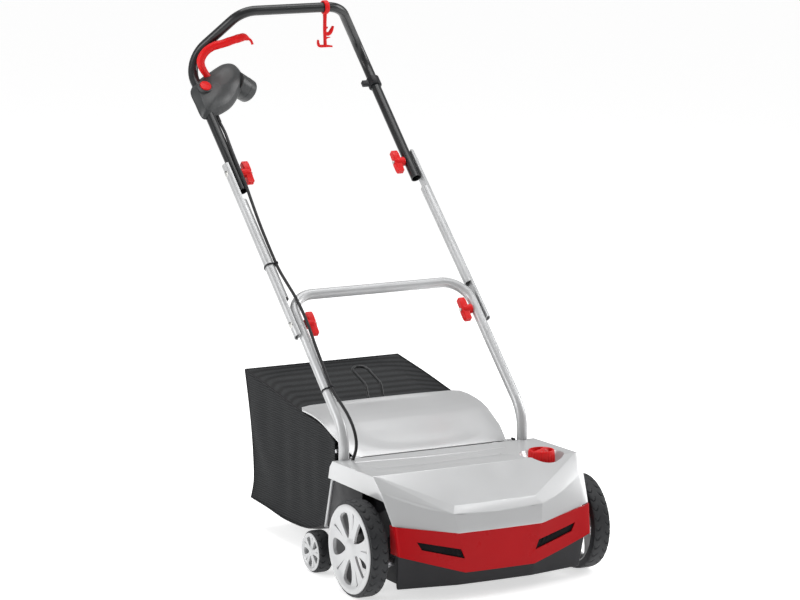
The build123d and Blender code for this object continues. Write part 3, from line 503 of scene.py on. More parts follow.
def hood_block(inset):
    shape = ruled(139.8, HOOD_LOW, 262, HOOD_TOP, inset)
    for points in HOOD_FACETS:
        a, b, c = (at(*point) for point in points)
        normal = (b - a).cross(c - a).normalized()
        if normal.z < 0:
            normal.negate()
        trim(shape, a - normal * inset * MM, normal)
    return shape


def under_line(points, low=0.0):
    """Outline seen from the front below a mirrored line."""
    line = mirrored(points)
    return [(line[0][0], low)] + line + [(line[-1][0], low)]


def groove(line, width, depth):
    """Long wedge that cuts a shallow V along a line (x, y) on the deck."""
    rings = []
    drop = Vector((0, 0, depth * MM))
    for (x, y, z), (ahead_x, ahead_y) in line:
        side = Vector((-ahead_y, ahead_x, 0)).normalized() * width * MM
        centre = at(x, y, z)
        rings.append([centre + side + drop, centre - drop, centre - side + drop])
    return solid(rings)


def deck_z(y):
    return 252 - (y + 20) * 4 / 181


def deck_line(points):
    placed = [(x, y, deck_z(y)) for x, y in points]
    heads = [(b[0] - a[0], b[1] - a[1]) for a, b in zip(points, points[1:])]
    return list(zip(placed, heads + heads[-1:]))


outer = hood_block(0)
round_edges(outer, 1.6, 5, 3)
ARCH = [(-62, 206), (250, 206), (250, 100), (-124, 100)]
REAR_END = [(150, 250), (169, 233), (183, 206), (183, 190), (300, 190), (300, 300), (150, 300)]
hood_mesh = combine(
    outer,
    hood_block(3),
    prism(under_line(BUMPER_TOP), "front", -150, -60),
    prism(ARCH, "side", -300, 300),
    prism(REAR_END, "side", -300, 300),
    prism([(-199.5, 158), (199.5, 158), (199.5, 300), (-199.5, 300)], "top", 180, 280),
    *[prism(disc((x, 155.8), 11.6), "top", 225, 275) for x in (-211, 211)],
    prism(disc((-197.8, 142.3), 4.6, 24), "top", 225, 275),
    cone_shape(KNOB_PLACE, ((DISH[0][0] + 1.2, 215),) + DISH),
    groove(deck_line([(-205, 118), (-60, 96), (60, 92), (140, 100)]), 5, 1.5),
    groove(deck_line([(-190, 44), (-70, 34), (20, 40), (96, 44)]), 6, 1.2),
)
settle(link("hood_shell", hood_mesh, HOOD, 28), "root", "hood_silver", "hood")

cup_outside = cone_shape(KNOB_PLACE, ((33.0, 225.0), (38.6, 225.5), (41.2, 231.0), (46.6, 246.0), (54.6, 262.0)))
cup_inside = cone_shape(KNOB_PLACE, ((31.0, 228.2), (36.0, 228.2), (38.5, 231.0), (44.0, 246.0), (53.0, 263.0)))
cup_bore = cone_shape(KNOB_PLACE, ((5.4, 220.0), (5.4, 232.0)))
cup_mesh = combine(cup_outside, cup_inside, cup_bore, within=hood_block(0.25))
settle(link("knob_dish", cup_mesh, HOOD, 28), "root", "hood_silver", "knob_collar")

# ---- bumper and skirt
BUMPER_LOW = ((0, -127), (80, -126), (221, -118), (221, -66))
BUMPER_HIGH = ((0, -131), (97, -129), (226, -98), (226, -66))
SKIRT_LOW = ((0, -106), (86, -105), (212, -82), (212, -40))
SKIRT_HIGH = ((0, -126), (90, -124), (219, -97), (219, -40))


def vent(side, grow):
    corners = ((184, 128), (90, 106), (82, 86), (174, 111))
    middle_x = sum(x for x, z in corners) / 4
    middle_z = sum(z for x, z in corners) / 4
    return [(side * (middle_x + (x - middle_x) * grow), middle_z + (z - middle_z) * grow) for x, z in corners]


def front_cover(low_z, low_line, high_z, high_line, width, rear, *cuts):
    shape = ruled(low_z, low_line, high_z, high_line)
    round_edges(shape, width, 5, 4)
    return combine(shape, ruled(low_z - 1, low_line, high_z + 1, high_line, 3.0),
                   prism([(-300, rear), (300, rear), (300, 0), (-300, 0)], "top", 0, 300), *cuts)


bumper_mesh = front_cover(
    50, BUMPER_LOW, 172, BUMPER_HIGH, 4.5, -73.5,
    prism(mirrored(BUMPER_TOP) + [(300, 300), (-300, 300)], "front", -150, -60),
    prism(under_line(BUMPER_BOTTOM), "front", -150, -60),
    *[prism(vent(side, 1.0), "front", -160, -90) for side in (-1, 1)],
)
settle(link("bumper_shell", bumper_mesh, BUMPER, 28), "root", "bumper_red", "front_bumper")

skirt_mesh = front_cover(
    26, SKIRT_LOW, 112, SKIRT_HIGH, 2.5, -78,
    prism([(x, z + 9) for x, z in mirrored(BUMPER_BOTTOM)] + [(300, 300), (-300, 300)], "front", -150, -60),
)
settle(link("skirt_shell", skirt_mesh, DARK, 28), "root", "dark_plastic", "front_skirt")


# ---- vent ribs
for side, name in ((-1, "vent_ribs_left"), (1, "vent_ribs_right")):
    ribs = bmesh.new()
    for k in range(9):
        part = (k + 0.5) / 9
        x = 84 + 96 * part
        z = 96 + 23 * part
        y = -121 + 16 * part
        lean = Matrix.Rotation(side * radians(24), 4, "Y")
        bmesh.ops.create_cube(ribs, size=1.0, matrix=Matrix.Translation(at(side * x, y + 1, z)) @ lean
                              @ Matrix.Diagonal((2.2 * MM, 12 * MM, 30 * MM, 1)))
    bmesh.ops.bevel(ribs, geom=ribs.edges[:], offset=0.0005, segments=2, affect="EDGES")
    settle(from_bmesh(name, ribs, INSIDE), "root", "dark_plastic")

# ---- flap
FLAP_PATH = ((164, 247.5), (188, 257.5), (215, 268.5), (246, 280.5), (278, 294), (304, 301.5), (330, 306),
             (356, 309), (376, 311.5), (390, 314.5))
FLAP_HALF = (178, 184, 190.5, 193, 195, 195.5, 196, 197, 197.5, 191)


def flap_point(u, v):
    """Upper side of the flap: u across from -1 to 1, v from the hinge to the rear lip."""
    place = v * (len(FLAP_PATH) - 1)
    k = min(int(place), len(FLAP_PATH) - 2)
    part = place - k
    y = FLAP_PATH[k][0] * (1 - part) + FLAP_PATH[k + 1][0] * part
    z = FLAP_PATH[k][1] * (1 - part) + FLAP_PATH[k + 1][1] * part
    half = FLAP_HALF[k] * (1 - part) + FLAP_HALF[k + 1] * part
    inner = max(0.0, 1 - ((abs(u) / 0.86) ** 3 + (abs(v - 0.5) / 0.46) ** 4))
    dish = 3.6 * min(1.0, inner * 1.6)
    rim = 2.0 * max(0.0, abs(u) - 0.9) / 0.1
    bow = 5.0 * (1 - u * u) * max(0.0, v - 0.6) / 0.4
    crown = 4.0 * sin(pi * min(v / 0.9, 1)) ** 0.7
    return at(u * half, y + bow * 0.6, z + crown - dish - rim + bow * 0.35)


flap_shape = bmesh.new()
FLAP_ROWS, FLAP_COLUMNS = 54, 88
flap_grid = [[flap_shape.verts.new(flap_point(-1 + 2 * j / FLAP_COLUMNS, i / FLAP_ROWS))
              for j in range(FLAP_COLUMNS + 1)] for i in range(FLAP_ROWS + 1)]
for i in range(FLAP_ROWS):
    for j in range(FLAP_COLUMNS):
        flap_shape.faces.new((flap_grid[i][j], flap_grid[i][j + 1],
                              flap_grid[i + 1][j + 1], flap_grid[i + 1][j]))
for _ in range(3):
    bmesh.ops.smooth_vert(flap_shape, verts=[v for v in flap_shape.verts if not v.is_boundary], factor=0.5,
                          use_axis_x=True, use_axis_y=True, use_axis_z=True)
bmesh.ops.recalc_face_normals(flap_shape, faces=flap_shape.faces)
if flap_grid[10][10].normal.z < 0:
    bmesh.ops.reverse_faces(flap_shape, faces=flap_shape.faces)
bmesh.ops.solidify(flap_shape, geom=flap_shape.faces[:], thickness=0.0028)
for side in (-1, 1):
    bmesh.ops.create_cone(flap_shape, cap_ends=True, segments=32, radius1=6 * MM, radius2=6 * MM, depth=20 * MM,
                          matrix=Matrix.Translation(at(side * 180, 166, 243)) @ Matrix.Rotation(pi / 2, 4, "Y"))
settle(from_bmesh("flap_shell", flap_shape, FLAP_SILVER, 40), "flap", "hood_silver", "flap")


# ---- curves
def smooth_line(points, per_run=8, closed=False):
    """Points on a Catmull-Rom curve through the given ones."""
    points = [Vector(point) for point in points]
    count = len(points)
    line = []
    for index in range(count if closed else count - 1):
        if closed:
            a, b, c, d = (points[(index + step) % count] for step in (-1, 0, 1, 2))
        else:
            b, c = points[index], points[index + 1]
            a = points[index - 1] if index else b * 2 - c
            d = points[index + 2] if index + 2 < count else c * 2 - b
        for step in range(per_run):
            t = step / per_run
            line.append(0.5 * (2 * b + (c - a) * t + (2 * a - 5 * b + 4 * c - d) * t * t
                               + (3 * b - a - 3 * c + d) * t ** 3))
    if not closed:
        line.append(points[-1])
    return line


def frames_along(path):
    """A pair of cross axes at each point of a path, carried along it without twist."""
    tangents = []
    for index, point in enumerate(path):
        before = path[max(index - 1, 0)]
        after = path[min(index + 1, len(path) - 1)]
        tangents.append((after - before).normalized())
    side = tangents[0].orthogonal().normalized()
    result = []
    for tangent in tangents:
        side = (side - tangent * side.dot(tangent)).normalized()
        result.append((side, tangent.cross(side)))
    return result


def skin(name, rings, finish, closed_ends=True, smooth_angle=40):
    """Mesh from rings of equal length; the ends are capped with fans."""
    shape = bmesh.new()
    rows = [[shape.verts.new(point) for point in ring] for ring in rings]
    bridge(shape, rows)
    if closed_ends:
        for row in (rows[0], rows[-1]):
            tip = shape.verts.new(sum((vert.co for vert in row), Vector()) / len(row))
            for index in range(len(row)):
                shape.faces.new((row[index - 1], row[index], tip))
    bmesh.ops.recalc_face_normals(shape, faces=shape.faces)
    return from_bmesh(name, shape, finish, smooth_angle)


def tube_rings(path, radius_at, sides):
    """Rings round a path; radius_at(part) gives the radius, or two half widths."""
    rings = []
    for index, (point, (side, rise)) in enumerate(zip(path, frames_along(path))):
        part = index / (len(path) - 1)
        size = radius_at(part)
        wide, tall = size if isinstance(size, tuple) else (size, size)
        rings.append([point + side * wide * cos(2 * pi * k / sides) + rise * tall * sin(2 * pi * k / sides)
                      for k in range(sides)])
    return rings


# ---- power lead
LEAD_RADIUS = 3.3 * MM
LEAD_ROUTE = [on_handle(*place) for place in (
    (-196, 150, -2), (-198.5, 118, 8), (-204, 70, 13), (-207, 20, 15.5), (-206, -30, 15.5), (-209, -85, 14),
    (-212, -150, 13), (-212.5, -205, 12), (-212, -243, 11.2), (-212, -273, 11.2), (-208, -315, 14),
    (-203, -360, 17), (-201, -417, 17), (-205, -480, 16.5), (-206, -535, 14), (-207, -575, 12.2),
    (-207, -605, 12.2),
)] + [at(*place) for place in (
    (-203, 188, 362), (-197, 159, 336), (-193, 141, 308), (-192, 134, 280), (-195, 138, 259), (-199, 144, 242),
)]


def nurbs_points(route, resolution=10):
    """Points along the smooth line of a route."""
    data = bpy.data.curves.new("route", "CURVE")
    data.dimensions = "3D"
    data.resolution_u = resolution
    spline = data.splines.new("NURBS")
    spline.points.add(len(route) - 1)
    for target, point in zip(spline.points, route):
        target.co = (*point, 1)
    spline.order_u = 3
    spline.use_endpoint_u = True
    holder = bpy.data.objects.new("route", data)
    mesh = bpy.data.meshes.new_from_object(holder)
    points = [vert.co.copy() for vert in mesh.vertices]
    bpy.data.objects.remove(holder)
    bpy.data.meshes.remove(mesh)
    bpy.data.curves.remove(data)
    return points


def length_of(points):
    return sum((after - before).length for before, after in zip(points, points[1:]))


def nearest(points, place):
    return min(range(len(points)), key=lambda index: (points[index] - place).length)


lead_points = nurbs_points(LEAD_ROUTE)
clip_one = nearest(lead_points, on_handle(-212, -258, 11.2))
clip_two = nearest(lead_points, on_handle(-207, -590, 12.2))
STRETCHES = (
    ("lead_upper", 0, clip_one, ("upper_handle", "middle_handle"),
     (on_handle(-205, 45, 15), on_handle(-205, -45, 15))),
    ("lead_middle", clip_one, clip_two, ("middle_handle", "root"),
     (on_handle(-205, -370, 15), on_handle(-205, -465, 15))),
    ("lead_lower", clip_two, len(lead_points) - 1, None, None),
)
for name, first, last, pair, span in STRETCHES:
    path = lead_points[first:last + 1]
    piece = skin(name, tube_rings(path, lambda part: LEAD_RADIUS, 14), LEAD)
    if pair:
        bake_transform(piece)
    else:
        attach(piece, "root")
    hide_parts("power_lead")


# ---- wheels
SIPE_DEPTH = 2.4


def tyre_shape(node, name, body, radius, count, sipe):
    """Tyre: a turned profile whose tread carries curved sipes running in from both shoulders."""
    low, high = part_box(node)
    centre = (low + high) / 2
    wide = (high.x - low.x) / 2 / MM * 0.98
    depth = radius * (0.16 if radius < 60 else 0.13)
    inner = radius - depth - 1.0
    profile = [(-wide, inner)]
    for t in [-1, -0.96, -0.9] + [-0.88 + 1.76 * k / 22 for k in range(23)] + [0.9, 0.96, 1]:
        shoulder = radius - depth + (1 - abs(t)) * depth * 2.2
        profile.append((t * wide, shoulder if abs(t) > 0.89 else radius - 0.6 - 4.2 * abs(t) ** 6))
    profile.append((wide, inner))
    around = count * 20
    rings = []
    for step in range(around):
        angle = 2 * pi * step / around
        ring = []
        for x, r in profile:
            cut = 0.0
            for row_x, shift in ((-0.55, 0.0), (0.55, 0.5)):
                reach = (x / wide - row_x) / 0.36
                if abs(reach) < 1 and r > radius - 6:
                    phase = (angle / (2 * pi) * count + shift + 0.55 * reach * reach) % 1.0
                    distance = min(phase, 1 - phase) * 2 * pi * radius / count
                    cut = max(cut, max(0.0, 1 - (distance / sipe) ** 2) * (1 - reach ** 6))
            r -= cut * SIPE_DEPTH
            ring.append(centre + Vector((x, r * cos(angle), r * sin(angle))) * MM)
        rings.append(ring)
    shape = bmesh.new()
    sections = [[shape.verts.new(point) for point in ring] for ring in rings]
    bridge(shape, sections + sections[:1])
    bmesh.ops.recalc_face_normals(shape, faces=shape.faces)
    return settle(from_bmesh(name, shape, TYRE, 50), body, "tyre", node)


FRONT_RIM = ((1.2, 0.02), (1.2, 11), (2.2, 16.5), (3.8, 19.5), (5.0, 25), (5.6, 45), (5.2, 62), (4.2, 74),
             (1.2, 79.5), (0.2, 82), (0.0, 84.5), (0.2, 89.5), (1.2, 91.2), (3.0, 91.6), (4.4, 90), (4.8, 87.6),
             (42.5, 87.6), (43.0, 84), (14, 83), (11.5, 79), (10.5, 70), (10.5, 22), (12.5, 16), (40, 15),
             (40, 7), (6.4, 7), (6.4, 0.02))
REAR_RIM = ((1.0, 0.02), (1.0, 5.5), (1.8, 8), (2.8, 10), (3.2, 20), (2.8, 31.5), (0.9, 34), (0.0, 36), (0.3, 39),
            (1.4, 39.8), (2.8, 39), (3.2, 37.4), (33.5, 37.4), (34, 35), (9, 34), (8, 32), (8, 12.5), (10, 10),
            (31.5, 9.6), (31.5, 7), (5.8, 7), (5.8, 0.02))
WINDOW = ((21.5, 0), (25, 8.5), (31, 12.5), (40, 15.4), (50, 16.4), (60, 16.2), (69, 15.2), (73.4, 13.4), (75.4, 10),
          (76.2, 4), (76.2, -4), (75.4, -10), (73.4, -13.4), (69, -15.2), (60, -16.2), (50, -16.4), (40, -15.4),
          (31, -12.5), (25, -8.5))
SLIT = ((40, 0), (60, 1.5), (78, 2.2), (79, 0), (78, -2.2), (60, -1.5))
WINDOW_TURN = 65
WINDOW_MIDDLE = 48


def wheel_disc(node, name, body, sign, profile, size):
    """Rim: a turned profile with five windows and a sunk V along each spoke."""
    centre = middle(node)
    low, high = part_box(node)
    face = high.x if sign > 0 else low.x
    sides = 120

    def spot(depth, radius, angle):
        return Vector((face - sign * depth * MM, centre.y + radius * MM * cos(angle),
                       centre.z + radius * MM * sin(angle)))

    shape = solid([[spot(depth, radius, 2 * pi * k / sides) for k in range(sides)] for depth, radius in profile])
    cuts = []
    for spoke in range(5):
        for outline, turn, low_depth, high_depth in ((WINDOW, 0, -4, 30), (SLIT, 36, -4, 7.4)):
            ends = []
            for depth, shrink in ((low_depth, 1.0), (high_depth, 0.93)):
                ends.append([spot(depth, size * (WINDOW_MIDDLE + (radius - WINDOW_MIDDLE) * shrink),
                                  radians(WINDOW_TURN + turn + 72 * spoke + angle * shrink))
                             for radius, angle in outline])
            cuts.append(solid(ends))
    return settle(link(name, combine(shape, *cuts), RIM, 30), body, "rim_silver", node)


for side, sign in (("left", -1), ("right", 1)):
    for end, radius, count, sipe in (("front", 100, 30, 2.1), ("rear", 45, 18, 1.5)):
        tyre_shape(f"{end}_tyre_{side}", f"{end}_tread_{side}", f"{end}_wheel_{side}", radius, count, sipe)
    for end, profile, size in (("front", FRONT_RIM, 1.0), ("rear", REAR_RIM, 0.42)):
        wheel_disc(f"{end}_rim_{side}", f"{end}_wheel_disc_{side}", f"{end}_wheel_{side}", sign, profile, size)


# ---- switch box and what is on it
POD_OUTLINE = ((-232, 160), (-236, 200), (-234, 240), (-206, 268), (-170, 290), (-134, 309), (-108, 308),
               (-97, 284), (-101, 258), (-120, 226), (-148, 193), (-176, 174), (-206, 163))
POD_CENTRE = (-172, 232)


def pod(name, levels, finish, slot_name, node):
    """Half of the box: its outline drawn in towards a middle as the height grows."""
    outline = smooth_line([Vector((x, s, 0)) for x, s in POD_OUTLINE], 8, closed=True)
    rings = []
    for raised, drawn in levels:
        ring = []
        for point in outline:
            arm = Vector((point.x - POD_CENTRE[0], point.y - POD_CENTRE[1], 0))
            size = arm.length
            arm *= max(size - drawn * (0.55 + 0.45 * size / 75), 2) / size
            ring.append(on_handle(POD_CENTRE[0] + arm.x, POD_CENTRE[1] + arm.y, raised))
        rings.append(ring)
    return settle(skin(name, rings, finish, True, 50), "upper_handle", slot_name, node)


FRONT_LEVELS = ((0.3, 0.8), (0.9, 0.0), (2.0, 0.2), (6, 3.0), (10.5, 7.4), (14.6, 11.4), (15.6, 12.6), (15.9, 13.6),
                (16.6, 15.6), (18.4, 20), (20.4, 26), (22.2, 33), (23.8, 42), (24.8, 54), (25.2, 66))
REAR_LEVELS = ((-0.3, 0.8), (-0.9, 0.0), (-2.0, 1.0), (-7, 5.6), (-13, 11.5), (-17.5, 17), (-20.6, 23), (-22.8, 32),
               (-24, 46), (-24.3, 62))
pod("switch_pod_front", FRONT_LEVELS, SWITCH, "switch_grey", "switch_box_front")
pod("switch_pod_rear", REAR_LEVELS, SWITCH, "switch_grey", "switch_box_rear")

TRIGGER_PATH = smooth_line([
    on_handle(-181, 262, 8), at(-190, 857, 972), at(-202, 853.5, 990), at(-204.5, 851, 1006), at(-195, 847, 1023),
    at(-178, 842, 1034.5), at(-158, 836, 1040), at(-141, 830, 1046), at(-126, 823.5, 1051), at(-116, 820, 1053.3),
    at(-108.8, 816, 1050.8), at(-102.5, 812, 1046.5), at(-99.4, 809, 1037.5),
], 8)


def trigger_size(part):
    """Thick in the hand's grip, with finger bumps, and thin at the hooked tip."""
    body = 7.4 + 3.6 * min(part / 0.25, 1)
    if part > 0.74:
        body += (3.4 - body) * min((part - 0.74) / 0.14, 1) ** 1.2
    bumps = 0.5 * max(0.0, sin(60 * part)) if 0.42 < part < 0.7 else 0.0
    return ((body + bumps) * MM, (body * 0.82 + bumps) * MM)


settle(skin("trigger_lever", tube_rings(TRIGGER_PATH, trigger_size, 20), RED), "trigger", "red_plastic",
       "switch_trigger")


def turned(name, centre, axis, profile, finish, body, slot_name, *nodes, sides=48, smooth=35):
    """Piece of revolution about an axis: the profile's points are distance along it and radius, in mm."""
    axis = axis.normalized()
    side = axis.orthogonal().normalized()
    rise = axis.cross(side)
    rings = []
    for along, radius in profile:
        rings.append([centre + (axis * along + (side * cos(2 * pi * k / sides) + rise * sin(2 * pi * k / sides))
                                * max(radius, 0.01)) * MM for k in range(sides)])
    return settle(skin(name, rings, finish, False, smooth), body, slot_name, *nodes)


def rounded(points, radius=1.2, steps=3):
    """A profile with each inner corner cut to a small curve."""
    result = [points[0]]
    for before, corner, after in zip(points, points[1:], points[2:]):
        p, q, r = (Vector((*point, 0)) for point in (before, corner, after))
        first, second = p - q, r - q
        cut = min(radius, first.length * 0.45, second.length * 0.45)
        start, end = q + first.normalized() * cut, q + second.normalized() * cut
        for step in range(steps + 1):
            t = step / steps
            spot = start * (1 - t) ** 2 + q * 2 * t * (1 - t) + end * t * t
            result.append((spot.x, spot.y))
    result.append(points[-1])
    return result


NORMAL = Vector((0, *ACROSS))
turned("button_cap", on_handle(-209, 231, 0), NORMAL,
       rounded([(18.4, 0), (18.4, 12.7), (27.8, 12.7), (28.6, 0)], 1.6), RED, "button", "red_plastic", "lock_button")
turned("button_ring", on_handle(-209, 231, 0), NORMAL,
       rounded([(18, 16.4), (25.4, 15.8), (26.2, 14.1), (24.8, 13.3), (18, 13.3)], 0.8), SWITCH, "upper_handle",
       "switch_grey")
SHROUD_AXIS = Vector((0.83, 0.26, -0.49))
turned("inlet_cup", at(-122.6, 857.4, 950.9), SHROUD_AXIS,
       rounded([(2, 10), (2, 27), (30, 26.8), (31, 27.2), (48, 26.6), (48, 23.8), (14, 24.2), (14, 0)], 1.2),
       SWITCH, "upper_handle", "switch_grey", "inlet_shroud")


# ---- depth knob
def knob():
    """Knob with a knurled skirt and a raised grip across its top."""
    centre = at(*KNOB_PLACE, 0)
    sides = 144
    levels = ((228.6, 0.94), (229.6, 1.0), (243, 0.985), (246, 0.97), (256.5, 0.955), (259.5, 0.93), (260.6, 0.88))
    rows = []
    for z, factor in levels:
        row = []
        for k in range(sides):
            angle = 2 * pi * k / sides
            rib = 1 - 0.045 * max(0, cos(angle * 24)) ** 3 if 229 < z < 258 else 1
            radius = KNOB_RADIUS * factor * rib
            row.append(centre + Vector((radius * cos(angle), radius * sin(angle), z)) * MM)
        rows.append(row)
    # dished top with the grip bar left standing
    for factor, drop in ((0.82, 0.6), (0.76, 8.5), (0.4, 9.5), (0.12, 9.8)):
        row = []
        for k in range(sides):
            angle = 2 * pi * k / sides
            radius = KNOB_RADIUS * factor
            x, y = radius * cos(angle), radius * sin(angle)
            off = abs(-x * sin(radians(35)) + y * cos(radians(35)))
            lift = max(0.0, 1 - max(0.0, off - 5.5) / 2.5) if factor < 0.8 else 0
            row.append(centre + Vector((x, y, 261 - drop * (1 - min(lift, 1)))) * MM)
        rows.append(row)
    return settle(from_bmesh("knob_grip", solid(rows), RED, 50), "knob", "red_plastic", "depth_knob")


knob()


# ---- wing nuts
NUT_HUB = ((199.4, 4.2), (199.4, 10.3), (197, 10.5), (180, 9.6), (178, 8.4), (178, 0.1))
NUT_WINGS = ((-27, -7.5), (-20, -9.4), (-4, -9.6), (4, -6.4), (20, -3.6), (27, -3), (27, 7.5), (20, 9.4), (4, 9.6),
             (-4, 6.4), (-20, 3.6), (-27, 3))
NUT_LEVELS = ((190.6, 1.4), (189.8, 0.3), (188.6, 0), (177, 0), (175.8, 0.3), (175, 1.4))


def wing_nut(pivot, level, side, sign):
    """Hub with two offset wings, turned so that it lies along the tube as in use."""
    name = f"{level}_wing_{side}"
    node = f"{level}_wing_nut_{side}"
    centre = at(0, *pivot)
    axis = Vector((sign, 0, 0))
    along = Vector((0, *ALONG))
    across = Vector((0, *ACROSS))
    shape = bmesh.new()
    sides = 40
    hub = [[shape.verts.new(centre + (axis * distance + (along * cos(2 * pi * k / sides)
                                                         + across * sin(2 * pi * k / sides)) * radius) * MM)
            for k in range(sides)] for distance, radius in rounded(NUT_HUB, 0.8)]
    bridge(shape, hub)
    wings = [[centre + (axis * distance + (along * s + across * n) * (1 - shrink / hypot(s, n))) * MM
              for s, n in NUT_WINGS] for distance, shrink in NUT_LEVELS]
    solid(wings, shape)
    return settle(from_bmesh(name, shape, RED, 45), f"{level}_nut_{side}", "red_plastic", node)


for side, sign in (("left", -1), ("right", 1)):
    wing_nut(LOWER_PIVOT, "lower", side, sign)
    wing_nut(UPPER_PIVOT, "upper", side, sign)


# ---- extension lead's hook
HOOK_X = 82.0
BAR = (817.0, 1110.6)


def hook_bar(name, points, widths, depth, *nodes):
    """Flat bar along a line of (x from the hook's middle, z), with its width at each point."""
    path = smooth_line([at(HOOK_X + x, BAR[0], z) for x, z in points], 6)
    spread_out = smooth_line([Vector((width, 0, 0)) for width in widths], 6)
    deep = depth / 2 * MM
    rings = []
    for index, point in enumerate(path):
        before, after = path[max(index - 1, 0)], path[min(index + 1, len(path) - 1)]
        tangent = (after - before).normalized()
        side = Vector((-tangent.z, 0, tangent.x))
        wide = spread_out[index].x / 2 * MM
        ring = []
        for k in range(16):
            c, s = cos(2 * pi * k / 16), sin(2 * pi * k / 16)
            ring.append(point + side * wide * abs(c) ** 0.5 * (1 if c > 0 else -1)
                        + Vector((0, 1, 0)) * deep * abs(s) ** 0.5 * (1 if s > 0 else -1))
        rings.append(ring)
    settle(skin(name, rings, RED, True, 50), "hook", "red_plastic", *nodes)


hook_bar("hook_strap", ((0, 1099), (0, 1085), (-0.5, 1060), (0, 1040), (0.5, 1027)), (8.5, 7, 6.5, 6, 6.5), 8,
         "cord_hook")
hook_bar("hook_arm", ((1, 1056), (5, 1051), (12, 1053), (17, 1061), (20, 1068)), (3, 8, 8, 6.5, 3), 8)
hook_bar("hook_barb", ((2, 1042), (6, 1043), (12, 1043.5)), (5, 3, 1.5), 7)
hook_bar("hook_foot", ((-17, 1039), (-17, 1032), (-14, 1025.5), (-4, 1024.5), (8, 1024), (17, 1023)),
         (2, 4.5, 6, 6, 5, 4), 8)
hook_bar("hook_lip", ((1, 1062), (4, 1064), (6, 1067)), (3, 2.4, 1.2), 7)
turned("hook_ring", at(HOOK_X, *BAR), Vector((1, 0, 0)),
       rounded([(-5, 12.1), (-5, 15.4), (5, 15.4), (5, 12.1), (-5, 12.1)], 0.8), RED, "hook", "red_plastic")

refined("tube_clip", "lead_snap", "upper_handle", DARK, "dark_plastic", 0.7)
refined("lead_clip_middle", "clip_middle", "middle_handle", DARK, "dark_plastic", 0.3, CLIP_NARROW)
refined("lead_clip_lower", "clip_lower", "root", DARK, "dark_plastic", 0.3, CLIP_NARROW)
for side in ("left", "right"):
    refined(f"side_cover_{side}", f"skirt_side_{side}", "root", DARK, "dark_plastic", 0.8)
for side in ("left", "right"):
    refined(f"rear_strut_{side}", f"strut_{side}", "root", SILVER, "silver_paint", 1.5)
refined("vent_screens", "vent_back", "root", INSIDE, "dark_plastic", 0.4)
refined("leg_bolts", "leg_bolt_heads", "root", ZINC, "zinc", 0.5)
refined("pivot_bolts", "pivot_bolt_heads", "middle_handle", ZINC, "zinc", 0.4)


# ---- catcher bag
HALF = 187.5
FRONT_EDGE = ((241, 98), (241, 180), (241, 264))
TOP_EDGE = ((241, 264), (278, 283), (330, 293), (392, 300), (540, 325), (673, 344))
BOTTOM_EDGE = ((241, 98), (290, 80), (369, 56), (480, 52), (568, 60), (647, 65))
REAR_EDGE = ((647, 65), (632, 108), (636, 180), (648, 250), (673, 344))
COLUMNS = 44
ROWS = 26
ACROSS_COUNT = 38
CLOTH = {"quality": 6, "mass": 0.12, "tension_stiffness": 40, "compression_stiffness": 30, "shear_stiffness": 20,
         "bending_stiffness": 0.6, "vertex_group_mass": "held", "shrink_min": -0.012, "use_internal_springs": False}
CLOTH_FRAMES = 25
SMOOTHINGS = 14
LARGEST_SHIFT = 9 * MM


def along_line(points, part):
    """Point at a part of a smooth line's length."""
    line = smooth_line([Vector((y, z, 0)) for y, z in points], 10)
    total = length_of(line) * part
    for before, after in zip(line, line[1:]):
        step = (after - before).length
        if total <= step:
            return before.lerp(after, total / step if step else 0)
        total -= step
    return line[-1]


def side_point(u, v):
    """Point of the side panel's outline patch, from its four edges."""
    top, bottom = along_line(TOP_EDGE, u), along_line(BOTTOM_EDGE, u)
    front, rear = along_line(FRONT_EDGE, v), along_line(REAR_EDGE, v)
    corners = (along_line(FRONT_EDGE, 0), along_line(FRONT_EDGE, 1), along_line(REAR_EDGE, 0),
               along_line(REAR_EDGE, 1))
    both = bottom.lerp(top, v) + front.lerp(rear, u)
    return both - corners[0].lerp(corners[1], v).lerp(corners[2].lerp(corners[3], v), u)


shape = bmesh.new()
grid = {}


def bag_vertex(i, j, k):
    """Vertex of the shell at column i, row j and place k across; shared along the seams."""
    key = (i, j, k)
    if key not in grid:
        place = side_point(i / COLUMNS, j / ROWS)
        x = -HALF + 2 * HALF * k / ACROSS_COUNT
        grid[key] = shape.verts.new(at(x, place.x, place.y))
    return grid[key]


def panel(corners_of, rows, columns, material_index):
    for row in range(rows):
        for column in range(columns):
            verts = [bag_vertex(*corners_of(row + a, column + b)) for a, b in ((0, 0), (0, 1), (1, 1), (1, 0))]
            shape.faces.new(verts).material_index = material_index


panel(lambda row, column: (column, row, 0), ROWS, COLUMNS, 0)
panel(lambda row, column: (column, row, ACROSS_COUNT), ROWS, COLUMNS, 0)
panel(lambda row, column: (column, ROWS, row), ACROSS_COUNT, COLUMNS, 1)
panel(lambda row, column: (column, 0, row), ACROSS_COUNT, COLUMNS, 0)
panel(lambda row, column: (COLUMNS, column, row), ACROSS_COUNT, ROWS, 0)
bmesh.ops.recalc_face_normals(shape, faces=shape.faces)
order = {key: index for index, key in enumerate(grid)}
bag = from_bmesh("bag_shell", shape, MESH_FABRIC, 180)
bag.data.materials.append(TOP_FABRIC)


def held(i, j, k):
    """How firmly the cloth is held: the mouth and top seams fully, other seams in part."""
    side = k in (0, ACROSS_COUNT)
    if i <= 1 or j == ROWS and (side or i == COLUMNS):
        return 1.0
    if side and i == COLUMNS:
        return 0.9
    if j == 0 and (side or i == COLUMNS):
        return 0.75
    return 0.0


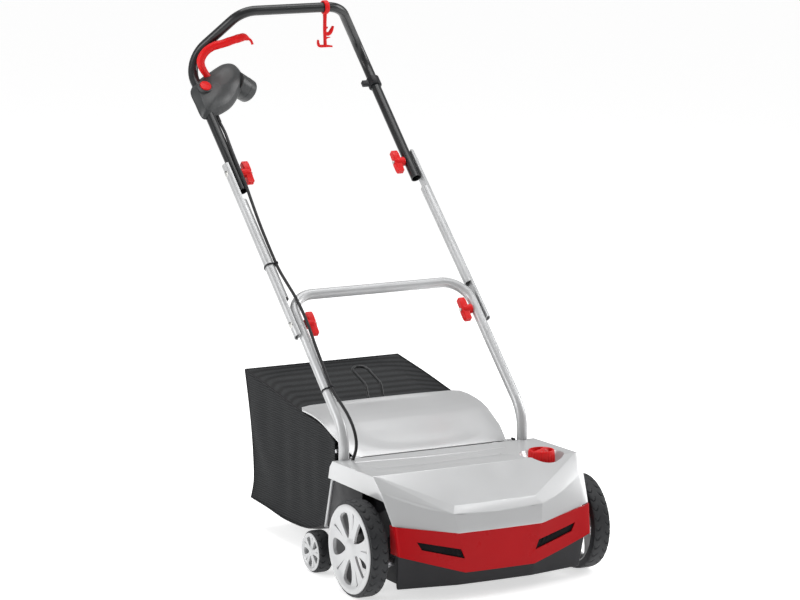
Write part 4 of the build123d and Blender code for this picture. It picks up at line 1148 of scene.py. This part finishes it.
pins = bag.vertex_groups.new(name="held")
for key, index in order.items():
    weight = held(*key)
    if weight:
        pins.add([index], weight, "REPLACE")
cloth = bag.modifiers.new("cloth", "CLOTH")
for setting, value in CLOTH.items():
    setattr(cloth.settings, setting, value)
cloth.collision_settings.use_collision = False
for number in range(1, CLOTH_FRAMES + 1):
    bpy.context.scene.frame_set(number)
result = bag.evaluated_get(bpy.context.evaluated_depsgraph_get()).to_mesh()
rest = [vert.co.copy() for vert in bag.data.vertices]
shifts = [moved.co - start for moved, start in zip(result.vertices, rest)]
beside = [[] for _ in shifts]
for edge in bag.data.edges:
    first, second = edge.vertices
    beside[first].append(second)
    beside[second].append(first)
for _ in range(SMOOTHINGS):
    shifts = [shift.lerp(sum((shifts[other] for other in near), Vector()) / len(near), 0.5)
              for shift, near in zip(shifts, beside)]
for key, index in order.items():
    shift = shifts[index] * (1 - held(*key))
    bag.data.vertices[index].co = rest[index] + shift * min(1, LARGEST_SHIFT / max(shift.length, 1e-9))
bag.evaluated_get(bpy.context.evaluated_depsgraph_get()).to_mesh_clear()
bag.modifiers.remove(cloth)
bpy.context.scene.frame_set(1)

seams = {
    "side_left": [(i, ROWS, 0) for i in range(COLUMNS + 1)],
    "side_right": [(i, ROWS, ACROSS_COUNT) for i in range(COLUMNS + 1)],
    "top_rear": [(COLUMNS, ROWS, k) for k in range(ACROSS_COUNT + 1)],
    "rear_left": [(COLUMNS, j, 0) for j in range(ROWS + 1)],
    "rear_right": [(COLUMNS, j, ACROSS_COUNT) for j in range(ROWS + 1)],
    "low_left": [(i, 0, 0) for i in range(COLUMNS + 1)],
    "low_right": [(i, 0, ACROSS_COUNT) for i in range(COLUMNS + 1)],
}
for name, keys in seams.items():
    path = smooth_line([bag.data.vertices[order[key]].co for key in keys[::2]], 3)
    settle(skin(f"bag_piping_{name}", tube_rings(path, lambda part: 1.9 * MM, 8), PIPING), "bag",
                          "bag_fabric")
seam_pairs = {frozenset((order[a], order[b])) for keys in seams.values() for a, b in zip(keys, keys[1:])}
crease = bag.data.attributes.new("crease_edge", "FLOAT", "EDGE")
for edge, value in zip(bag.data.edges, crease.data):
    value.value = 1.0 if frozenset(edge.vertices) in seam_pairs else 0.0
thick = bag.modifiers.new("thickness", "SOLIDIFY")
thick.thickness = 1.0 * MM
thick.offset = 0
finer = bag.modifiers.new("finer", "SUBSURF")
finer.levels = 1
finer.render_levels = 1
settle(bag, "bag", "bag_fabric", "bag_fabric")
